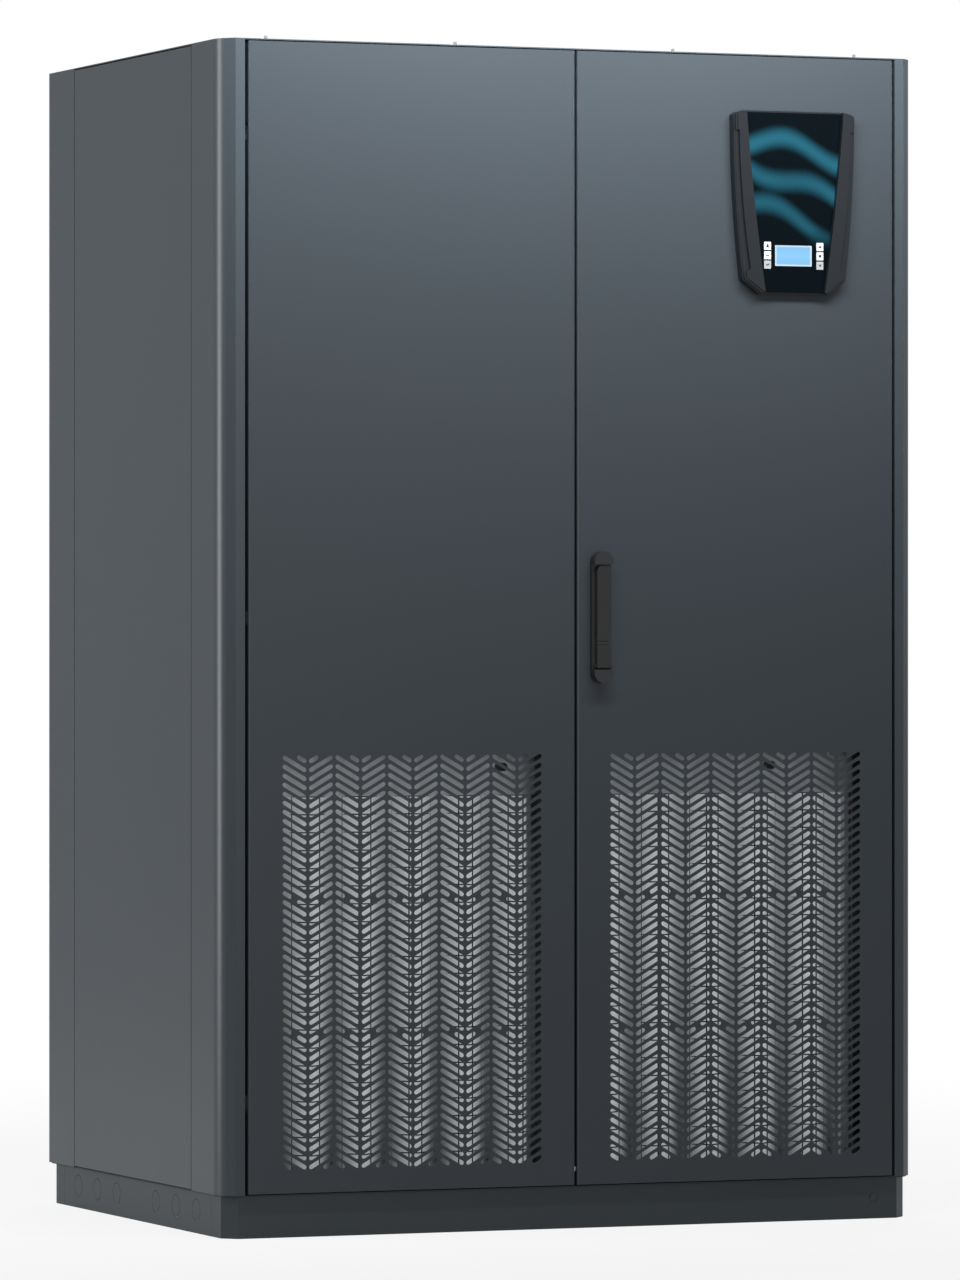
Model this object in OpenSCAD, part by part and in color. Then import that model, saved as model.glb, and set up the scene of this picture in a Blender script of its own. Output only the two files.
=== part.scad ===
// Floor-standing cooling unit for a computer room: a two-door cabinet on a plinth, with chevron
// grilles in front of pleated filters, a chilled-water coil and two roof-discharging plug fans.
// Millimetres, +Z up. The front faces -Y, and the origin is on the floor under the middle.

/* [Cabinet] */
// Overall width
cabinet_w = 1270; // [1230:10:1500]
// Depth from the front corner strips to the rear panel
cabinet_d = 880; // [860:5:960]
// Height of the whole cabinet, without the roof bolts
cabinet_h = 1990; // [1960:10:2200]
// Sheet thickness of posts, panels and trays
sheet_t = 2; // [1.5:0.25:2.5]
// Visible seam between neighbouring panels
seam = 2; // [1:0.5:3]
// Length of the front corner pieces along each side
front_corner_run = 148; // [120:1:170]
// Length of the rear corner pieces along each side
rear_corner_run = 135; // [110:1:160]
// Thickness of the insulation on the side panels
insulation_t = 18; // [10:1:22]

/* [Front corner profile] */
// Distance of the chamfer's front edge from the side
chamfer_u = 24; // [20:1:28]
// Radius of the bend between chamfer and side
corner_r = 40; // [34:1:46]
// Distance of the flat strip's inner edge from the side
strip_u = 40.5; // [38:0.5:44]

/* [Plinth] */
// Height of the plinth under the base tray
plinth_h = 70; // [60:1:100]
// Setback of the plinth from the cabinet's sides and front
plinth_inset = 10; // [6:1:20]
// Leg of the plinth's corner chamfers
plinth_chamfer = 22.5; // [16:0.5:26]
// Diameter of the knock-outs
knockout_d = 36.5; // [20:0.5:40]
// Spacing of the knock-outs
knockout_pitch = 100; // [90:1:110]

/* [Doors] */
// Gap between the two doors
door_gap = 4; // [3:0.5:5]
// Gap between a door and the corner strip
edge_gap = 5; // [4.5:0.5:6]
// Depth of a door from its face to its rear flange
door_t = 26; // [24:1:28]
// Thickness of the door sheet
door_sheet_t = 1.5; // [1:0.25:2]
// How far the door faces stand in front of the corner strips
door_proud = 2; // [0:0.5:4]
// Bend radius of the doors' upright edges
door_bend_r = 2.5; // [2:0.5:4]
// Room between the doors' rear flange and the frame, filled by the seal
seal_room = 8.6; // [8.2:0.1:10]

/* [Grille] */
// Height of the first row of slots over the floor
grille_z = 112; // [105:1:140]
// Width of a slot
slot_w = 7.5; // [5:0.5:8.5]
// Sideways distance between the end centres of a slot
slot_run = 36; // [30:1:37]
// Slope of the slots
slot_angle = 30; // [25:1:32]
// Vertical spacing of the slots
row_pitch = 15; // [13.5:0.5:16]
// Spacing of the columns
column_pitch = 47; // [46:0.5:48]
// Sideways span of the short slots at the plain bands, between end centres
short_run = 10.4; // [8:0.2:12]

/* [Hinges] */
// Distance of the hinge pins from the doors' outer edge
pin_inset_x = 16; // [15:0.5:18]
// Depth of the hinge pins behind the door face
pin_inset_y = 13; // [12:0.5:14]
// Diameter of the hinge pins
pin_d = 8; // [6:0.5:8]
// Radial running clearance of pins and shafts
running_gap = 0.08; // [0.05:0.01:0.1]

/* [Handle] */
// Sideways place of the handle from the cabinet's middle
handle_x = 43; // [40:1:46]
// Height of the middle of the handle plate
handle_z = 1031; // [980:1:1080]
// Length of the handle plate
handle_len = 222; // [216:1:236]
// Width of the handle plate
handle_w = 35; // [32:1:38]
// Width of the lever
lever_w = 25; // [22:1:28]
// Thickness of the lever
lever_t = 11; // [9:0.5:13]
// Height of the plate on the door face
handle_plate_t = 9; // [7:0.5:11]
// Radius at which the cam carries its rod pins
cam_r = 12; // [10:0.5:14]
// Diameter of the locking rods
rod_d = 8; // [6:0.5:9]

/* [Controller] */
// Sideways place of the controller from the cabinet's middle
controller_x = 396; // [360:1:430]
// Height of the controller's lower edge
controller_z = 1581; // [1400:1:1640]
// Depth of the glass in front of the door face
glass_proud = 15; // [12:1:18]
// Height of the cheeks in front of the glass
cheek_proud = 8; // [4:1:10]
// Width of the display window
display_w = 69; // [60:1:74]
// Height of the display window
display_h = 35.5; // [30:0.5:40]
// Side of a button
button_w = 12.7; // [10:0.1:13.5]
// Clearance round a button
button_gap = 0.25; // [0.2:0.05:0.5]

/* [Inside] */
// Diameter of the fan wheels
wheel_d = 500; // [450:10:520]
// Height of the fan deck over the floor
deck_z = 1180; // [1120:10:1240]
// Throat diameter of the fan inlets
throat_d = 320; // [280:10:340]
// Lean of the coil from upright
coil_lean = 22; // [18:1:26]
// Length of the coil along its lean
coil_len = 900; // [800:10:960]
// Thickness of the coil
coil_t = 100; // [80:5:120]
// Outer diameter of the water pipes
pipe_d = 35; // [28:1:42]
// Pleat spacing of the filters
pleat_pitch = 94; // [80:2:110]
// Pleat depth of the filters
pleat_depth = 40; // [30:1:44]
// Length of the roof opening, left to right
discharge_w = 1000; // [900:10:1060]
// Depth of the roof opening
discharge_d = 560; // [500:10:560]

/* [Hidden] */

round_fn = 96;
small_fn = 48;
slack = 0.25;
half_w = cabinet_w / 2;
// The controller is the foremost point; with it, the footprint is centred on the origin.
front_y = (door_proud + glass_proud + cheek_proud - cabinet_d) / 2;
face_y = front_y - door_proud;
rear_y = front_y + cabinet_d;

body_z = plinth_h + sheet_t;
roof_z = cabinet_h - sheet_t;
door_z0 = body_z + seam;
door_z1 = roof_z - seam;
door_h = door_z1 - door_z0;
door_x0 = door_gap / 2;
door_x1 = half_w - strip_u - edge_gap;
door_w = door_x1 - door_x0;
door_rear_y = face_y + door_t;
land_y = door_rear_y + seal_room;
seal_t = seal_room - slack;
land_w = 34;
mullion_w = 100;
mullion_d = 24;

handle_top_z = handle_z + handle_len / 2;
turn_z = handle_top_z - 35;
lift_z = turn_z + 7;
lever_top_z = turn_z + lever_w / 2;
lever_len = 128.5;
lever_z0 = lever_top_z - lever_len;
bridge_h = 3.8;
flap_gap = 0.8;
flap_z1 = lever_z0 - 1.2 - bridge_h - flap_gap;
flap_z0 = handle_z - handle_len / 2 + 23;
flap_pin_z = flap_z0 + lever_t / 2;
flap_pin_d = 2.5;
plate_y = face_y - handle_plate_t;
lever_y1 = plate_y - 0.4;
lever_y0 = lever_y1 - lever_t;
lift_y = lever_y1 - lever_t / 2;
spindle_d = 10;
cam_y = face_y + 8;
cam_t = 3;
rod_plate_t = 2.5;
rod_pin_d = 5;
rod_y = cam_y + cam_t + 0.6 + rod_plate_t / 2;
pin_offset = cam_r * sin(45);

hinge_x = door_x1 - pin_inset_x;
hinge_y = face_y + pin_inset_y;
arm_h = 24;
arm_w = 8;
hinge_zs = [door_z0 + 150, (door_z0 + door_z1) / 2, door_z1 - 150];

glass_y = face_y - glass_proud;
controller_h = 312;
button_zs = [82, 66, 50];
button_x = 49;
display_z = 66;
glass_t = 3;

bay_x = half_w / 2 - 8;
fan_y = rear_y - 310;
wheel_h = 150;
wheel_z = deck_z + 24;
side_inner_x = half_w - sheet_t - insulation_t;
fin_x0 = 38 - side_inner_x;
coil_x1 = side_inner_x - 98;
coil_y = front_y + 150;
coil_z = plinth_h + 62;
filter_y = front_y + 64;
filter_x0 = 55;
filter_w = 482;
filter_z0 = 98;
filter_h = 647;
filter_d = 48;
box_y0 = land_y + mullion_d + slack;
box_d = 130;

// Box between two corners
module slab(x, y, z) {
  translate([x[0], y[0], z[0]]) cube([x[1] - x[0], y[1] - y[0], z[1] - z[0]]);
}

// The children and their mirror image about the cabinet's middle
module both_sides() {
  children();
  mirror([1, 0, 0]) children();
}

// Round bar along Y, from a point towards the rear
module bar_y(x, y, z, d, length, fn = small_fn) {
  translate([x, y, z]) rotate([-90, 0, 0]) cylinder(d = d, h = length, $fn = fn);
}

// Round bar along X
module bar_x(x, y, z, d, length, fn = small_fn) {
  translate([x, y, z]) rotate([0, 90, 0]) cylinder(d = d, h = length, $fn = fn);
}

// ---------------------------------------------------------------- corner profile and outlines

bend_x = corner_r * (1 - cos(45));
bend_y = chamfer_u - bend_x;
arc_y = bend_y + corner_r * sin(45);

// Ring sector of the corner bend: the 45 degrees between chamfer and side
module corner_bend(outer, inner) {
  intersection() {
    translate([corner_r, arc_y]) difference() {
      circle(outer, $fn = round_fn);
      if (inner > 0) circle(inner, $fn = round_fn);
    }
    polygon([
      [corner_r, arc_y], [corner_r - 1.3 * corner_r, arc_y],
      [corner_r - 1.3 * corner_r * cos(45), arc_y - 1.3 * corner_r * sin(45)]
    ]);
  }
}

corner_steps = 6;

// Plan of the cabinet, from its front left corner, drawn in by inset
module cabinet_outline(inset) {
  r = corner_r - inset;
  corner = concat(
    [for (i = [0:corner_steps]) let (a = 180 + 45 * i / corner_steps)
      [corner_r + r * cos(a), arc_y + r * sin(a)]],
    [[chamfer_u + inset * tan(22.5), inset]]
  );
  last = len(corner) - 1;
  polygon(concat(
    [[inset, cabinet_d - inset]], corner,
    [for (i = [last:-1:0]) [cabinet_w - corner[i][0], corner[i][1]]],
    [[cabinet_w - inset, cabinet_d - inset]]
  ));
}

// Folded sheet of a front corner piece, in plan
module front_post_profile() {
  t = sheet_t;
  r = corner_r;
  translate([chamfer_u, 0]) square([strip_u - chamfer_u, t]);
  translate([strip_u - t, 0]) square([t, land_y - front_y]);
  translate([strip_u - t, land_y - front_y]) square([land_w + t, t]);
  polygon([
    [chamfer_u, 0], [chamfer_u + t * tan(22.5), t],
    [r - (r - t) * cos(45), arc_y - (r - t) * sin(45)], [bend_x, bend_y]
  ]);
  corner_bend(r, r - t);
  translate([0, arc_y]) square([t, front_corner_run - arc_y]);
  translate([0, front_corner_run - t]) square([flange_u + t, t]);
  translate([flange_u, front_corner_run - t]) square([t, flange_w + t]);
}

// Folded sheet of a rear corner piece, in plan
module rear_post_profile() {
  t = sheet_t;
  run = rear_corner_run;
  back_v = cabinet_d - rear_panel_d - slack - t;
  translate([0, cabinet_d - run]) square([t, run]);
  translate([0, cabinet_d - run]) square([flange_u + t, t]);
  translate([flange_u, cabinet_d - run - flange_w]) square([t, flange_w + t]);
  translate([0, cabinet_d - t]) square([rear_leg_w, t]);
  translate([rear_leg_w - t, back_v]) square([t, cabinet_d - back_v]);
  translate([rear_leg_w - t, back_v]) square([flange_w + t, t]);
}

// Upright post folded from a plan profile, with clearance holes for the panel screws
module post() {
  difference() {
    translate([-half_w, front_y, body_z]) linear_extrude(post_h) children();
    mirror([1, 0, 0]) screw_places() screw_bore();
  }
}

// ---------------------------------------------------------------- plinth and base

plinth_t = 2.5;
plinth_front_run = 67;

// Plan of the plinth, drawn in by inset
module plinth_outline(inset) {
  w = cabinet_w - 2 * plinth_inset;
  d = cabinet_d - 2 * plinth_inset;
  c = plinth_chamfer - inset * (2 - sqrt(2));
  translate([-w / 2, front_y + plinth_inset]) difference() {
    translate([inset, inset]) square([w - 2 * inset, d - 2 * inset]);
    for (side = [0, 1]) translate([side * w, 0]) mirror([side, 0])
      polygon([[inset - 1, inset - 1], [inset + c, inset - 1], [inset + c, inset], [inset, inset + c],
        [inset - 1, inset + c]]);
  }
}

module plinth_ring(z0, z1, wall) {
  translate([0, 0, z0]) linear_extrude(z1 - z0) difference() {
    plinth_outline(0);
    plinth_outline(wall);
  }
}

// Part of the plinth ring between two depths, with its turned-in upper and lower edges
module plinth_piece(y0, y1) {
  intersection() {
    union() {
      plinth_ring(0, plinth_h, plinth_t);
      plinth_ring(0, plinth_t, 24);
      plinth_ring(plinth_h - plinth_t, plinth_h, 24);
    }
    slab([-half_w, half_w], [y0, y1], [0, plinth_h]);
  }
}

plinth_y0 = front_y + plinth_inset + plinth_front_run;
plinth_y1 = rear_y - plinth_inset - 43;
knockout_z = 39;

// Punched ring round a knock-out: an open groove with two ties left in it
module knockout_ring(d) {
  groove = 0.8;
  difference() {
    cylinder(d = d + 2 * groove, h = 2 * plinth_t, center = true, $fn = small_fn);
    cylinder(d = d, h = 3 * plinth_t, center = true, $fn = small_fn);
    cube([3, 2 * d, 3 * plinth_t], center = true);
  }
}

module plinth_front() {
  color("#35393e") difference() {
    plinth_piece(front_y + plinth_inset, plinth_y0 - 0.5);
    translate([half_w - 76, front_y + plinth_inset + plinth_t / 2, knockout_z - 3])
      rotate([90, 0, 0]) knockout_ring(14);
  }
}

module plinth_rear() {
  color("#35393e") plinth_piece(plinth_y1 + 0.5, rear_y - plinth_inset);
}

// Straight channel between the front and rear plinth pieces
module plinth_side() {
  x1 = half_w - plinth_inset;
  middle_y = front_y + 452;
  difference() {
    union() {
      slab([x1 - plinth_t, x1], [plinth_y0, plinth_y1], [0, plinth_h]);
      slab([x1 - 24, x1], [plinth_y0, plinth_y1], [0, plinth_t]);
      slab([x1 - 24, x1], [plinth_y0, plinth_y1], [plinth_h - plinth_t, plinth_h]);
    }
    for (k = [-3, -2, -1, 1, 2, 3])
      translate([x1 - plinth_t / 2, middle_y + k * knockout_pitch, knockout_z])
        rotate([0, 90, 0]) knockout_ring(knockout_d);
  }
}

module left_plinth_side() {
  color("#4a4f54") mirror([1, 0, 0]) plinth_side();
}

module right_plinth_side() {
  color("#4a4f54") plinth_side();
}

pipe_hole_x = [coil_x1 - 8, side_inner_x - 7];
pipe_hole_y = [rear_y - 330, rear_y - 60];
tray_lip_h = 30;

module base_tray() {
  color("#3b4045") {
    difference() {
      translate([-half_w, front_y, plinth_h]) linear_extrude(sheet_t) cabinet_outline(4);
      slab(pipe_hole_x, pipe_hole_y, [plinth_h - 1, body_z + 1]);
      translate([cable_x, cable_y, plinth_h - 1]) cylinder(d = cable_d, h = sheet_t + 2, $fn = round_fn);
    }
    // Upright front lip, the lower stop of the doors
    difference() {
      slab([land_x0, -land_x0], [land_y, land_y + sheet_t], [body_z - 0.5, body_z + tray_lip_h]);
      slab([-mullion_w / 2 - slack, mullion_w / 2 + slack], [land_y - 1, land_y + 3], [body_z, body_z + 40]);
    }
  }
}

land_x0 = strip_u + land_w - half_w + slack;
cable_x = -side_inner_x + 70;
cable_y = rear_y - 120;
cable_d = 63;

// ---------------------------------------------------------------- posts, rails, panels, roof

post_h = roof_z - body_z;

module left_front_post() {
  color("#54595e") post() front_post_profile();
}

module right_front_post() {
  color("#54595e") mirror([1, 0, 0]) post() front_post_profile();
}

module left_rear_post() {
  color("#54595e") post() rear_post_profile();
}

module right_rear_post() {
  color("#54595e") mirror([1, 0, 0]) post() rear_post_profile();
}

rail_h = 36;
mid_rail_z = 862;

// Channel rail from side to side, open to the rear
module cross_rail(z0, x0, x1) {
  slab([x0, x1], [land_y, land_y + sheet_t], [z0, z0 + rail_h]);
  slab([x0, x1], [land_y, land_y + 26], [z0, z0 + sheet_t]);
  slab([x0, x1], [land_y, land_y + 26], [z0 + rail_h - sheet_t, z0 + rail_h]);
}

module front_rails() {
  color("#2b2f33") {
    cross_rail(roof_z - rail_h, land_x0, -land_x0);
    both_sides() cross_rail(mid_rail_z, mullion_w / 2 + slack, -land_x0);
    // Centre mullion behind the gap between the doors
    difference() {
      slab([-mullion_w / 2, mullion_w / 2], [land_y, land_y + mullion_d], [body_z, roof_z - rail_h - slack]);
      slab([sheet_t - mullion_w / 2, mullion_w / 2 - sheet_t], [land_y + sheet_t, land_y + mullion_d + 1],
        [body_z - 1, roof_z]);
    }
  }
}

discharge_y = fan_y;
collar_h = 22;

module roof_panel() {
  x = discharge_w / 2;
  y = discharge_d / 2;
  color("#54595e") {
    difference() {
      translate([-half_w, front_y, roof_z]) linear_extrude(sheet_t) cabinet_outline(0);
      slab([-x, x], [discharge_y - y, discharge_y + y], [roof_z - 1, cabinet_h + 1]);
    }
    // Turned-down collar round the air outlet
    difference() {
      slab([-x - sheet_t, x + sheet_t], [discharge_y - y - sheet_t, discharge_y + y + sheet_t],
        [roof_z - collar_h, roof_z]);
      slab([-x, x], [discharge_y - y, discharge_y + y], [roof_z - collar_h - 1, roof_z + 1]);
    }
  }
}

bolt_xs = [-540, -200, 200, 540];
bolt_ys = [front_y + 55, rear_y - 14];

module roof_bolts() {
  color("#c9ccd0")
    for (x = bolt_xs, y = bolt_ys) translate([x, y, cabinet_h]) {
      cylinder(d = 14, h = 1.5, $fn = small_fn);
      cylinder(d = 11.5, h = 9, $fn = 6);
    }
}

side_y0 = front_y + front_corner_run + seam;
side_y1 = rear_y - rear_corner_run - seam;
panel_z0 = body_z + seam;
panel_z1 = roof_z - seam;
screw_inset = 19;
screw_zs = [panel_z0 + 86, (panel_z0 + panel_z1) / 2, panel_z1 - 86];
screw_d = 9;
screw_len = insulation_t + 8;
rear_panel_d = 16;
rear_leg_w = 60;
flange_u = insulation_t + slack;
flange_w = 34;

// The children at every screw of the right side panel and the rear panel, with +Z pointing outwards
module screw_places() {
  for (y = [side_y0 + screw_inset, side_y1 - screw_inset], z = screw_zs)
    translate([half_w, y, z]) rotate([0, 90, 0]) children();
  for (side = [-1, 1], z = screw_zs)
    translate([side * (rear_x - screw_inset), rear_y, z]) rotate([-90, 0, 0]) children();
}

module screw_bore() {
  translate([0, 0, -screw_len]) cylinder(d = screw_d / 2 + 0.3, h = screw_len, $fn = small_fn);
}

// Countersunk hole for a panel screw, from the outer face inwards
module screw_seat() {
  translate([0, 0, -sheet_t])
    cylinder(d1 = screw_d / 2 + 0.3, d2 = screw_d + 0.3, h = sheet_t, $fn = small_fn);
  screw_bore();
}

// Right side panel: a tray of sheet with turned-in edges
module side_panel() {
  t = sheet_t;
  difference() {
    slab([half_w - insulation_t, half_w], [side_y0, side_y1], [panel_z0, panel_z1]);
    slab([half_w - insulation_t - 1, half_w - t], [side_y0 + t, side_y1 - t], [panel_z0 + t, panel_z1 - t]);
    screw_places() screw_seat();
  }
}

module left_side_panel() {
  color("#565b60") mirror([1, 0, 0]) side_panel();
}

module right_side_panel() {
  color("#565b60") side_panel();
}

module side_insulation() {
  color("#6e7276") both_sides()
    slab([half_w - insulation_t - sheet_t, half_w - sheet_t - slack],
      [side_y0 + 36, side_y1 - 36], [panel_z0 + 36, panel_z1 - 36]);
}

rear_x = half_w - rear_leg_w - seam;

module rear_panel() {
  t = sheet_t;
  color("#4c5156") difference() {
    slab([-rear_x, rear_x], [rear_y - rear_panel_d, rear_y], [panel_z0, panel_z1]);
    slab([t - rear_x, rear_x - t], [rear_y - rear_panel_d - 1, rear_y - t], [panel_z0 + t, panel_z1 - t]);
    screw_places() screw_seat();
  }
}

// Panel screw with its head flush at the origin, pointing along -Z
module panel_screw() {
  translate([0, 0, -sheet_t + 0.1])
    cylinder(d1 = screw_d / 2 - 0.2, d2 = screw_d - 0.3, h = sheet_t - 0.3, $fn = small_fn);
  translate([0, 0, -screw_len + 1]) cylinder(d = screw_d / 2 - 0.2, h = screw_len - 2, $fn = small_fn);
}

module panel_screws() {
  color("#9a9da0") {
    screw_places() panel_screw();
    for (y = [side_y0 + screw_inset, side_y1 - screw_inset], z = screw_zs)
      translate([-half_w, y, z]) rotate([0, -90, 0]) panel_screw();
  }
}

// Thin stop tongue on the mullion, in the gap between the doors
module door_catch() {
  z = body_z + tray_lip_h;
  color("#cfd2d5") slab([-1.2, 1.2], [face_y + 6, land_y], [z - 5, z + 3]);
}

// ---------------------------------------------------------------- doors

slot_rise = slot_run * tan(slot_angle);
slot_step = 60;
columns = 10;
top_row = 46;
split_rows = [15, 30];
field_w = (columns - 1) * column_pitch + slot_run;
door_middle = (door_x0 + door_x1) / 2;
grille_x0 = [-door_middle - field_w / 2, door_middle - field_w / 2];

// Round-ended slot from the origin up to the right
module slot(run) {
  length = run / cos(slot_angle);
  rotate(slot_angle) polygon([
    for (end = [0, 1], a = [0:slot_step:180])
      [end == 0 ? slot_w / 2 * cos(90 + a) : length + slot_w / 2 * cos(a - 90),
        slot_w / 2 * (end == 0 ? sin(90 + a) : sin(a - 90))]
  ]);
}

// Upper half of a split slot
module upper_slot() {
  translate([slot_run - short_run, slot_rise - short_run * tan(slot_angle)]) slot(short_run);
}

// Slots of one column. Two plain bands split a row each, and the end rows have one half only.
module slot_column() {
  for (row = [0:top_row]) translate([0, row * row_pitch - slot_rise / 2]) {
    if (row == 0) upper_slot();
    else if (row == top_row) slot(short_run);
    else if (len(search(row, split_rows)) > 0) {
      slot(short_run);
      upper_slot();
    } else slot(slot_run);
  }
}

// Chevron field: every other column leans the other way
module grille_field() {
  for (column = [0:columns - 1]) translate([column * column_pitch, 0])
    if (column % 2 == 0) translate([slot_run, 0]) mirror([1, 0]) slot_column();
    else slot_column();
}

module grille_cut(x0) {
  translate([x0, face_y + 2 * door_sheet_t, grille_z]) rotate([90, 0, 0])
    linear_extrude(4 * door_sheet_t) grille_field();
}

door_flanges = [22, 34];
flange_h = 14;

// Plan of the right door's outside, with its two upright edges bent round
module door_outline() {
  r = door_bend_r;
  bend = [for (a = [0:30:90]) [r - r * cos(a), r - r * sin(a)]];
  polygon(concat(
    [[0, door_t]], bend, [for (i = [3:-1:0]) [door_w - bend[i][0], bend[i][1]]], [[door_w, door_t]]
  ));
}

notch_h = arm_h + 4;

// Folded door with closed ends, hinge shelves' notches and no grille, right-hand
module door_pan() {
  t = door_sheet_t;
  difference() {
    translate([door_x0, face_y, door_z0]) difference() {
      linear_extrude(door_h) door_outline();
      slab([t, door_w - t], [t, door_t - t], [t, door_h - t]);
      slab([door_flanges[0], door_w - door_flanges[1]], [door_t - 2 * t, door_t + 1],
        [flange_h, door_h - flange_h]);
    }
    for (z = hinge_zs)
      slab([hinge_x - arm_w / 2 - 1.5, door_x1 + 1], [face_y + door_bend_r + 0.5, door_rear_y + 1],
        [z - notch_h / 2, z + notch_h / 2]);
  }
}

module left_door_skin() {
  color("#4b5055") difference() {
    mirror([1, 0, 0]) door_pan();
    grille_cut(grille_x0[0]);
  }
}

module right_door_skin() {
  color("#4b5055") difference() {
    door_pan();
    grille_cut(grille_x0[1]);
    bar_y(handle_x, face_y - 1, turn_z, spindle_d + 2, 4);
    bar_y(handle_x, face_y - 1, lock_z, lock_d + 1, 4);
  }
}

lining_t = 14;
lining_z0 = 880;
lining_x0 = handle_x + 30;

// Foam lining of a door's closed upper part
module door_lining() {
  slab([lining_x0, hinge_x - 16], [face_y + door_sheet_t, face_y + door_sheet_t + lining_t],
    [lining_z0, door_z1 - 40]);
}

module left_door_lining() {
  color("#505458") mirror([1, 0, 0]) door_lining();
}

module right_door_lining() {
  color("#505458") door_lining();
}

seal_w = 12;

// Rubber ring on the rear flange of a door
module door_seal() {
  x = [door_x0 + 10, hinge_x - 1];
  difference() {
    slab(x, [door_rear_y, door_rear_y + seal_t], [door_z0 + 1, door_z1 - 1]);
    slab([x[0] + seal_w, x[1] - seal_w], [door_rear_y - 1, door_rear_y + seal_t + 1],
      [door_z0 + 1 + seal_w, door_z1 - 1 - seal_w]);
    for (z = hinge_zs) slab([x[1] - seal_w - 12, door_x1], [door_rear_y - 1, door_rear_y + seal_t + 1],
      [z - notch_h / 2, z + notch_h / 2]);
  }
}

module left_door_seal() {
  color("#17181a") mirror([1, 0, 0]) door_seal();
}

module right_door_seal() {
  color("#17181a") door_seal();
}

pin_len = arm_h + 24;

// Fixed arm with its pin, reaching from the post into the door
module hinge_bracket() {
  translate([hinge_x, hinge_y, 0]) {
    translate([0, 0, -pin_len / 2]) cylinder(d = pin_d, h = pin_len, $fn = small_fn);
    translate([0, 0, -arm_h / 2]) cylinder(d = pin_d + 3, h = arm_h, $fn = small_fn);
    slab([-arm_w / 2, arm_w / 2], [0, land_y - hinge_y], [-arm_h / 2, arm_h / 2]);
    slab([-arm_w / 2 - 18, half_w - strip_u - hinge_x - slack - sheet_t],
      [land_y - hinge_y - 3, land_y - hinge_y], [-arm_h / 2, arm_h / 2]);
  }
}

module hinge_brackets() {
  color("#8a8d90") both_sides() for (z = hinge_zs) translate([0, 0, z]) hinge_bracket();
}

// Bored block on the door above or below an arm
module hinge_sleeve(z0) {
  h = 10;
  difference() {
    slab([hinge_x - 9, door_x1 - door_sheet_t], [face_y + door_sheet_t, hinge_y + 8], [z0, z0 + h]);
    translate([hinge_x, hinge_y, z0 - 1]) cylinder(r = pin_d / 2 + running_gap, h = h + 2, $fn = small_fn);
  }
}

module hinge_sleeves() {
  for (z = hinge_zs) {
    hinge_sleeve(z + arm_h / 2 + 1);
    hinge_sleeve(z - arm_h / 2 - 11);
  }
}

module left_hinge_sleeves() {
  color("#8a8d90") mirror([1, 0, 0]) hinge_sleeves();
}

module right_hinge_sleeves() {
  color("#8a8d90") hinge_sleeves();
}

// ---------------------------------------------------------------- handle, lock and rods

lock_z = (flap_z0 + flap_z1) / 2;
lock_d = 13;

// Upright outline with round ends, centred, in the X-Z plane
module round_plate(w, h) {
  square([w, h - w], center = true);
  for (side = [-1, 1]) translate([0, side * (h - w) / 2]) circle(d = w, $fn = round_fn);
}

// Extrudes an X-Z outline from y0 back to y1
module extrude_y(y0, y1) {
  translate([0, y1, 0]) rotate([90, 0, 0]) linear_extrude(y1 - y0) children();
}

module handle_plate() {
  color("#1e1f21") difference() {
    union() {
      extrude_y(plate_y, face_y) translate([handle_x, handle_z]) round_plate(handle_w, handle_len);
      // End caps and bridge, level with the lever's front
      intersection() {
        extrude_y(lever_y0, face_y) translate([handle_x, handle_z]) round_plate(handle_w, handle_len);
        union() {
          slab([0, 2 * handle_x], [lever_y0, face_y], [lever_top_z + 0.6, handle_top_z]);
          slab([0, 2 * handle_x], [lever_y0, face_y], [handle_z - handle_len / 2, flap_z0 - 0.5]);
        }
      }
      slab([handle_x - lever_w / 2, handle_x + lever_w / 2], [lever_y0 + 0.5, face_y],
        [flap_z1 + flap_gap, flap_z1 + flap_gap + bridge_h]);
      // Ears carrying the flap's pin
      for (side = [-1, 1]) {
        x = handle_x + side * (lever_w / 2 + 1.75);
        slab([x - 1.5, x + 1.5], [lift_y, face_y], [flap_pin_z - 3, flap_pin_z + 3]);
        bar_x(x - 1.5, lift_y, flap_pin_z, 6, 3);
      }
    }
    bar_x(handle_x - handle_w / 2, lift_y, flap_pin_z, flap_pin_d + 2 * running_gap, handle_w);
    bar_y(handle_x, lever_y0 - 1, turn_z, spindle_d + 2 * running_gap, handle_plate_t + lever_t + 3);
    bar_y(handle_x, lever_y0 - 1, lock_z, lock_d + 2 * running_gap, handle_plate_t + lever_t + 3);
  }
}

lift_pin_d = 4;
lug_w = 12;

// Shaft through the door, with the lever's lug in front and the rod cam behind
module handle_spindle() {
  color("#8f9296") {
    bar_y(handle_x, plate_y - 0.3, turn_z, spindle_d, cam_y - plate_y + 0.4);
    difference() {
      union() {
        bar_x(handle_x - lug_w / 2, lift_y, lift_z, lever_t - 3, lug_w);
        slab([handle_x - lug_w / 2, handle_x + lug_w / 2], [lift_y, plate_y - 0.2],
          [lift_z - 12, lift_z + 3]);
      }
      bar_x(handle_x - lug_w, lift_y, lift_z, lift_pin_d + 2 * running_gap, 2 * lug_w);
    }
    bar_y(handle_x, cam_y, turn_z, 2 * cam_r + 9, cam_t, round_fn);
    for (side = [-1, 1])
      bar_y(handle_x + side * pin_offset, cam_y + cam_t - 0.5, turn_z - side * pin_offset, rod_pin_d,
        rod_plate_t + 2);
  }
}

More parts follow.
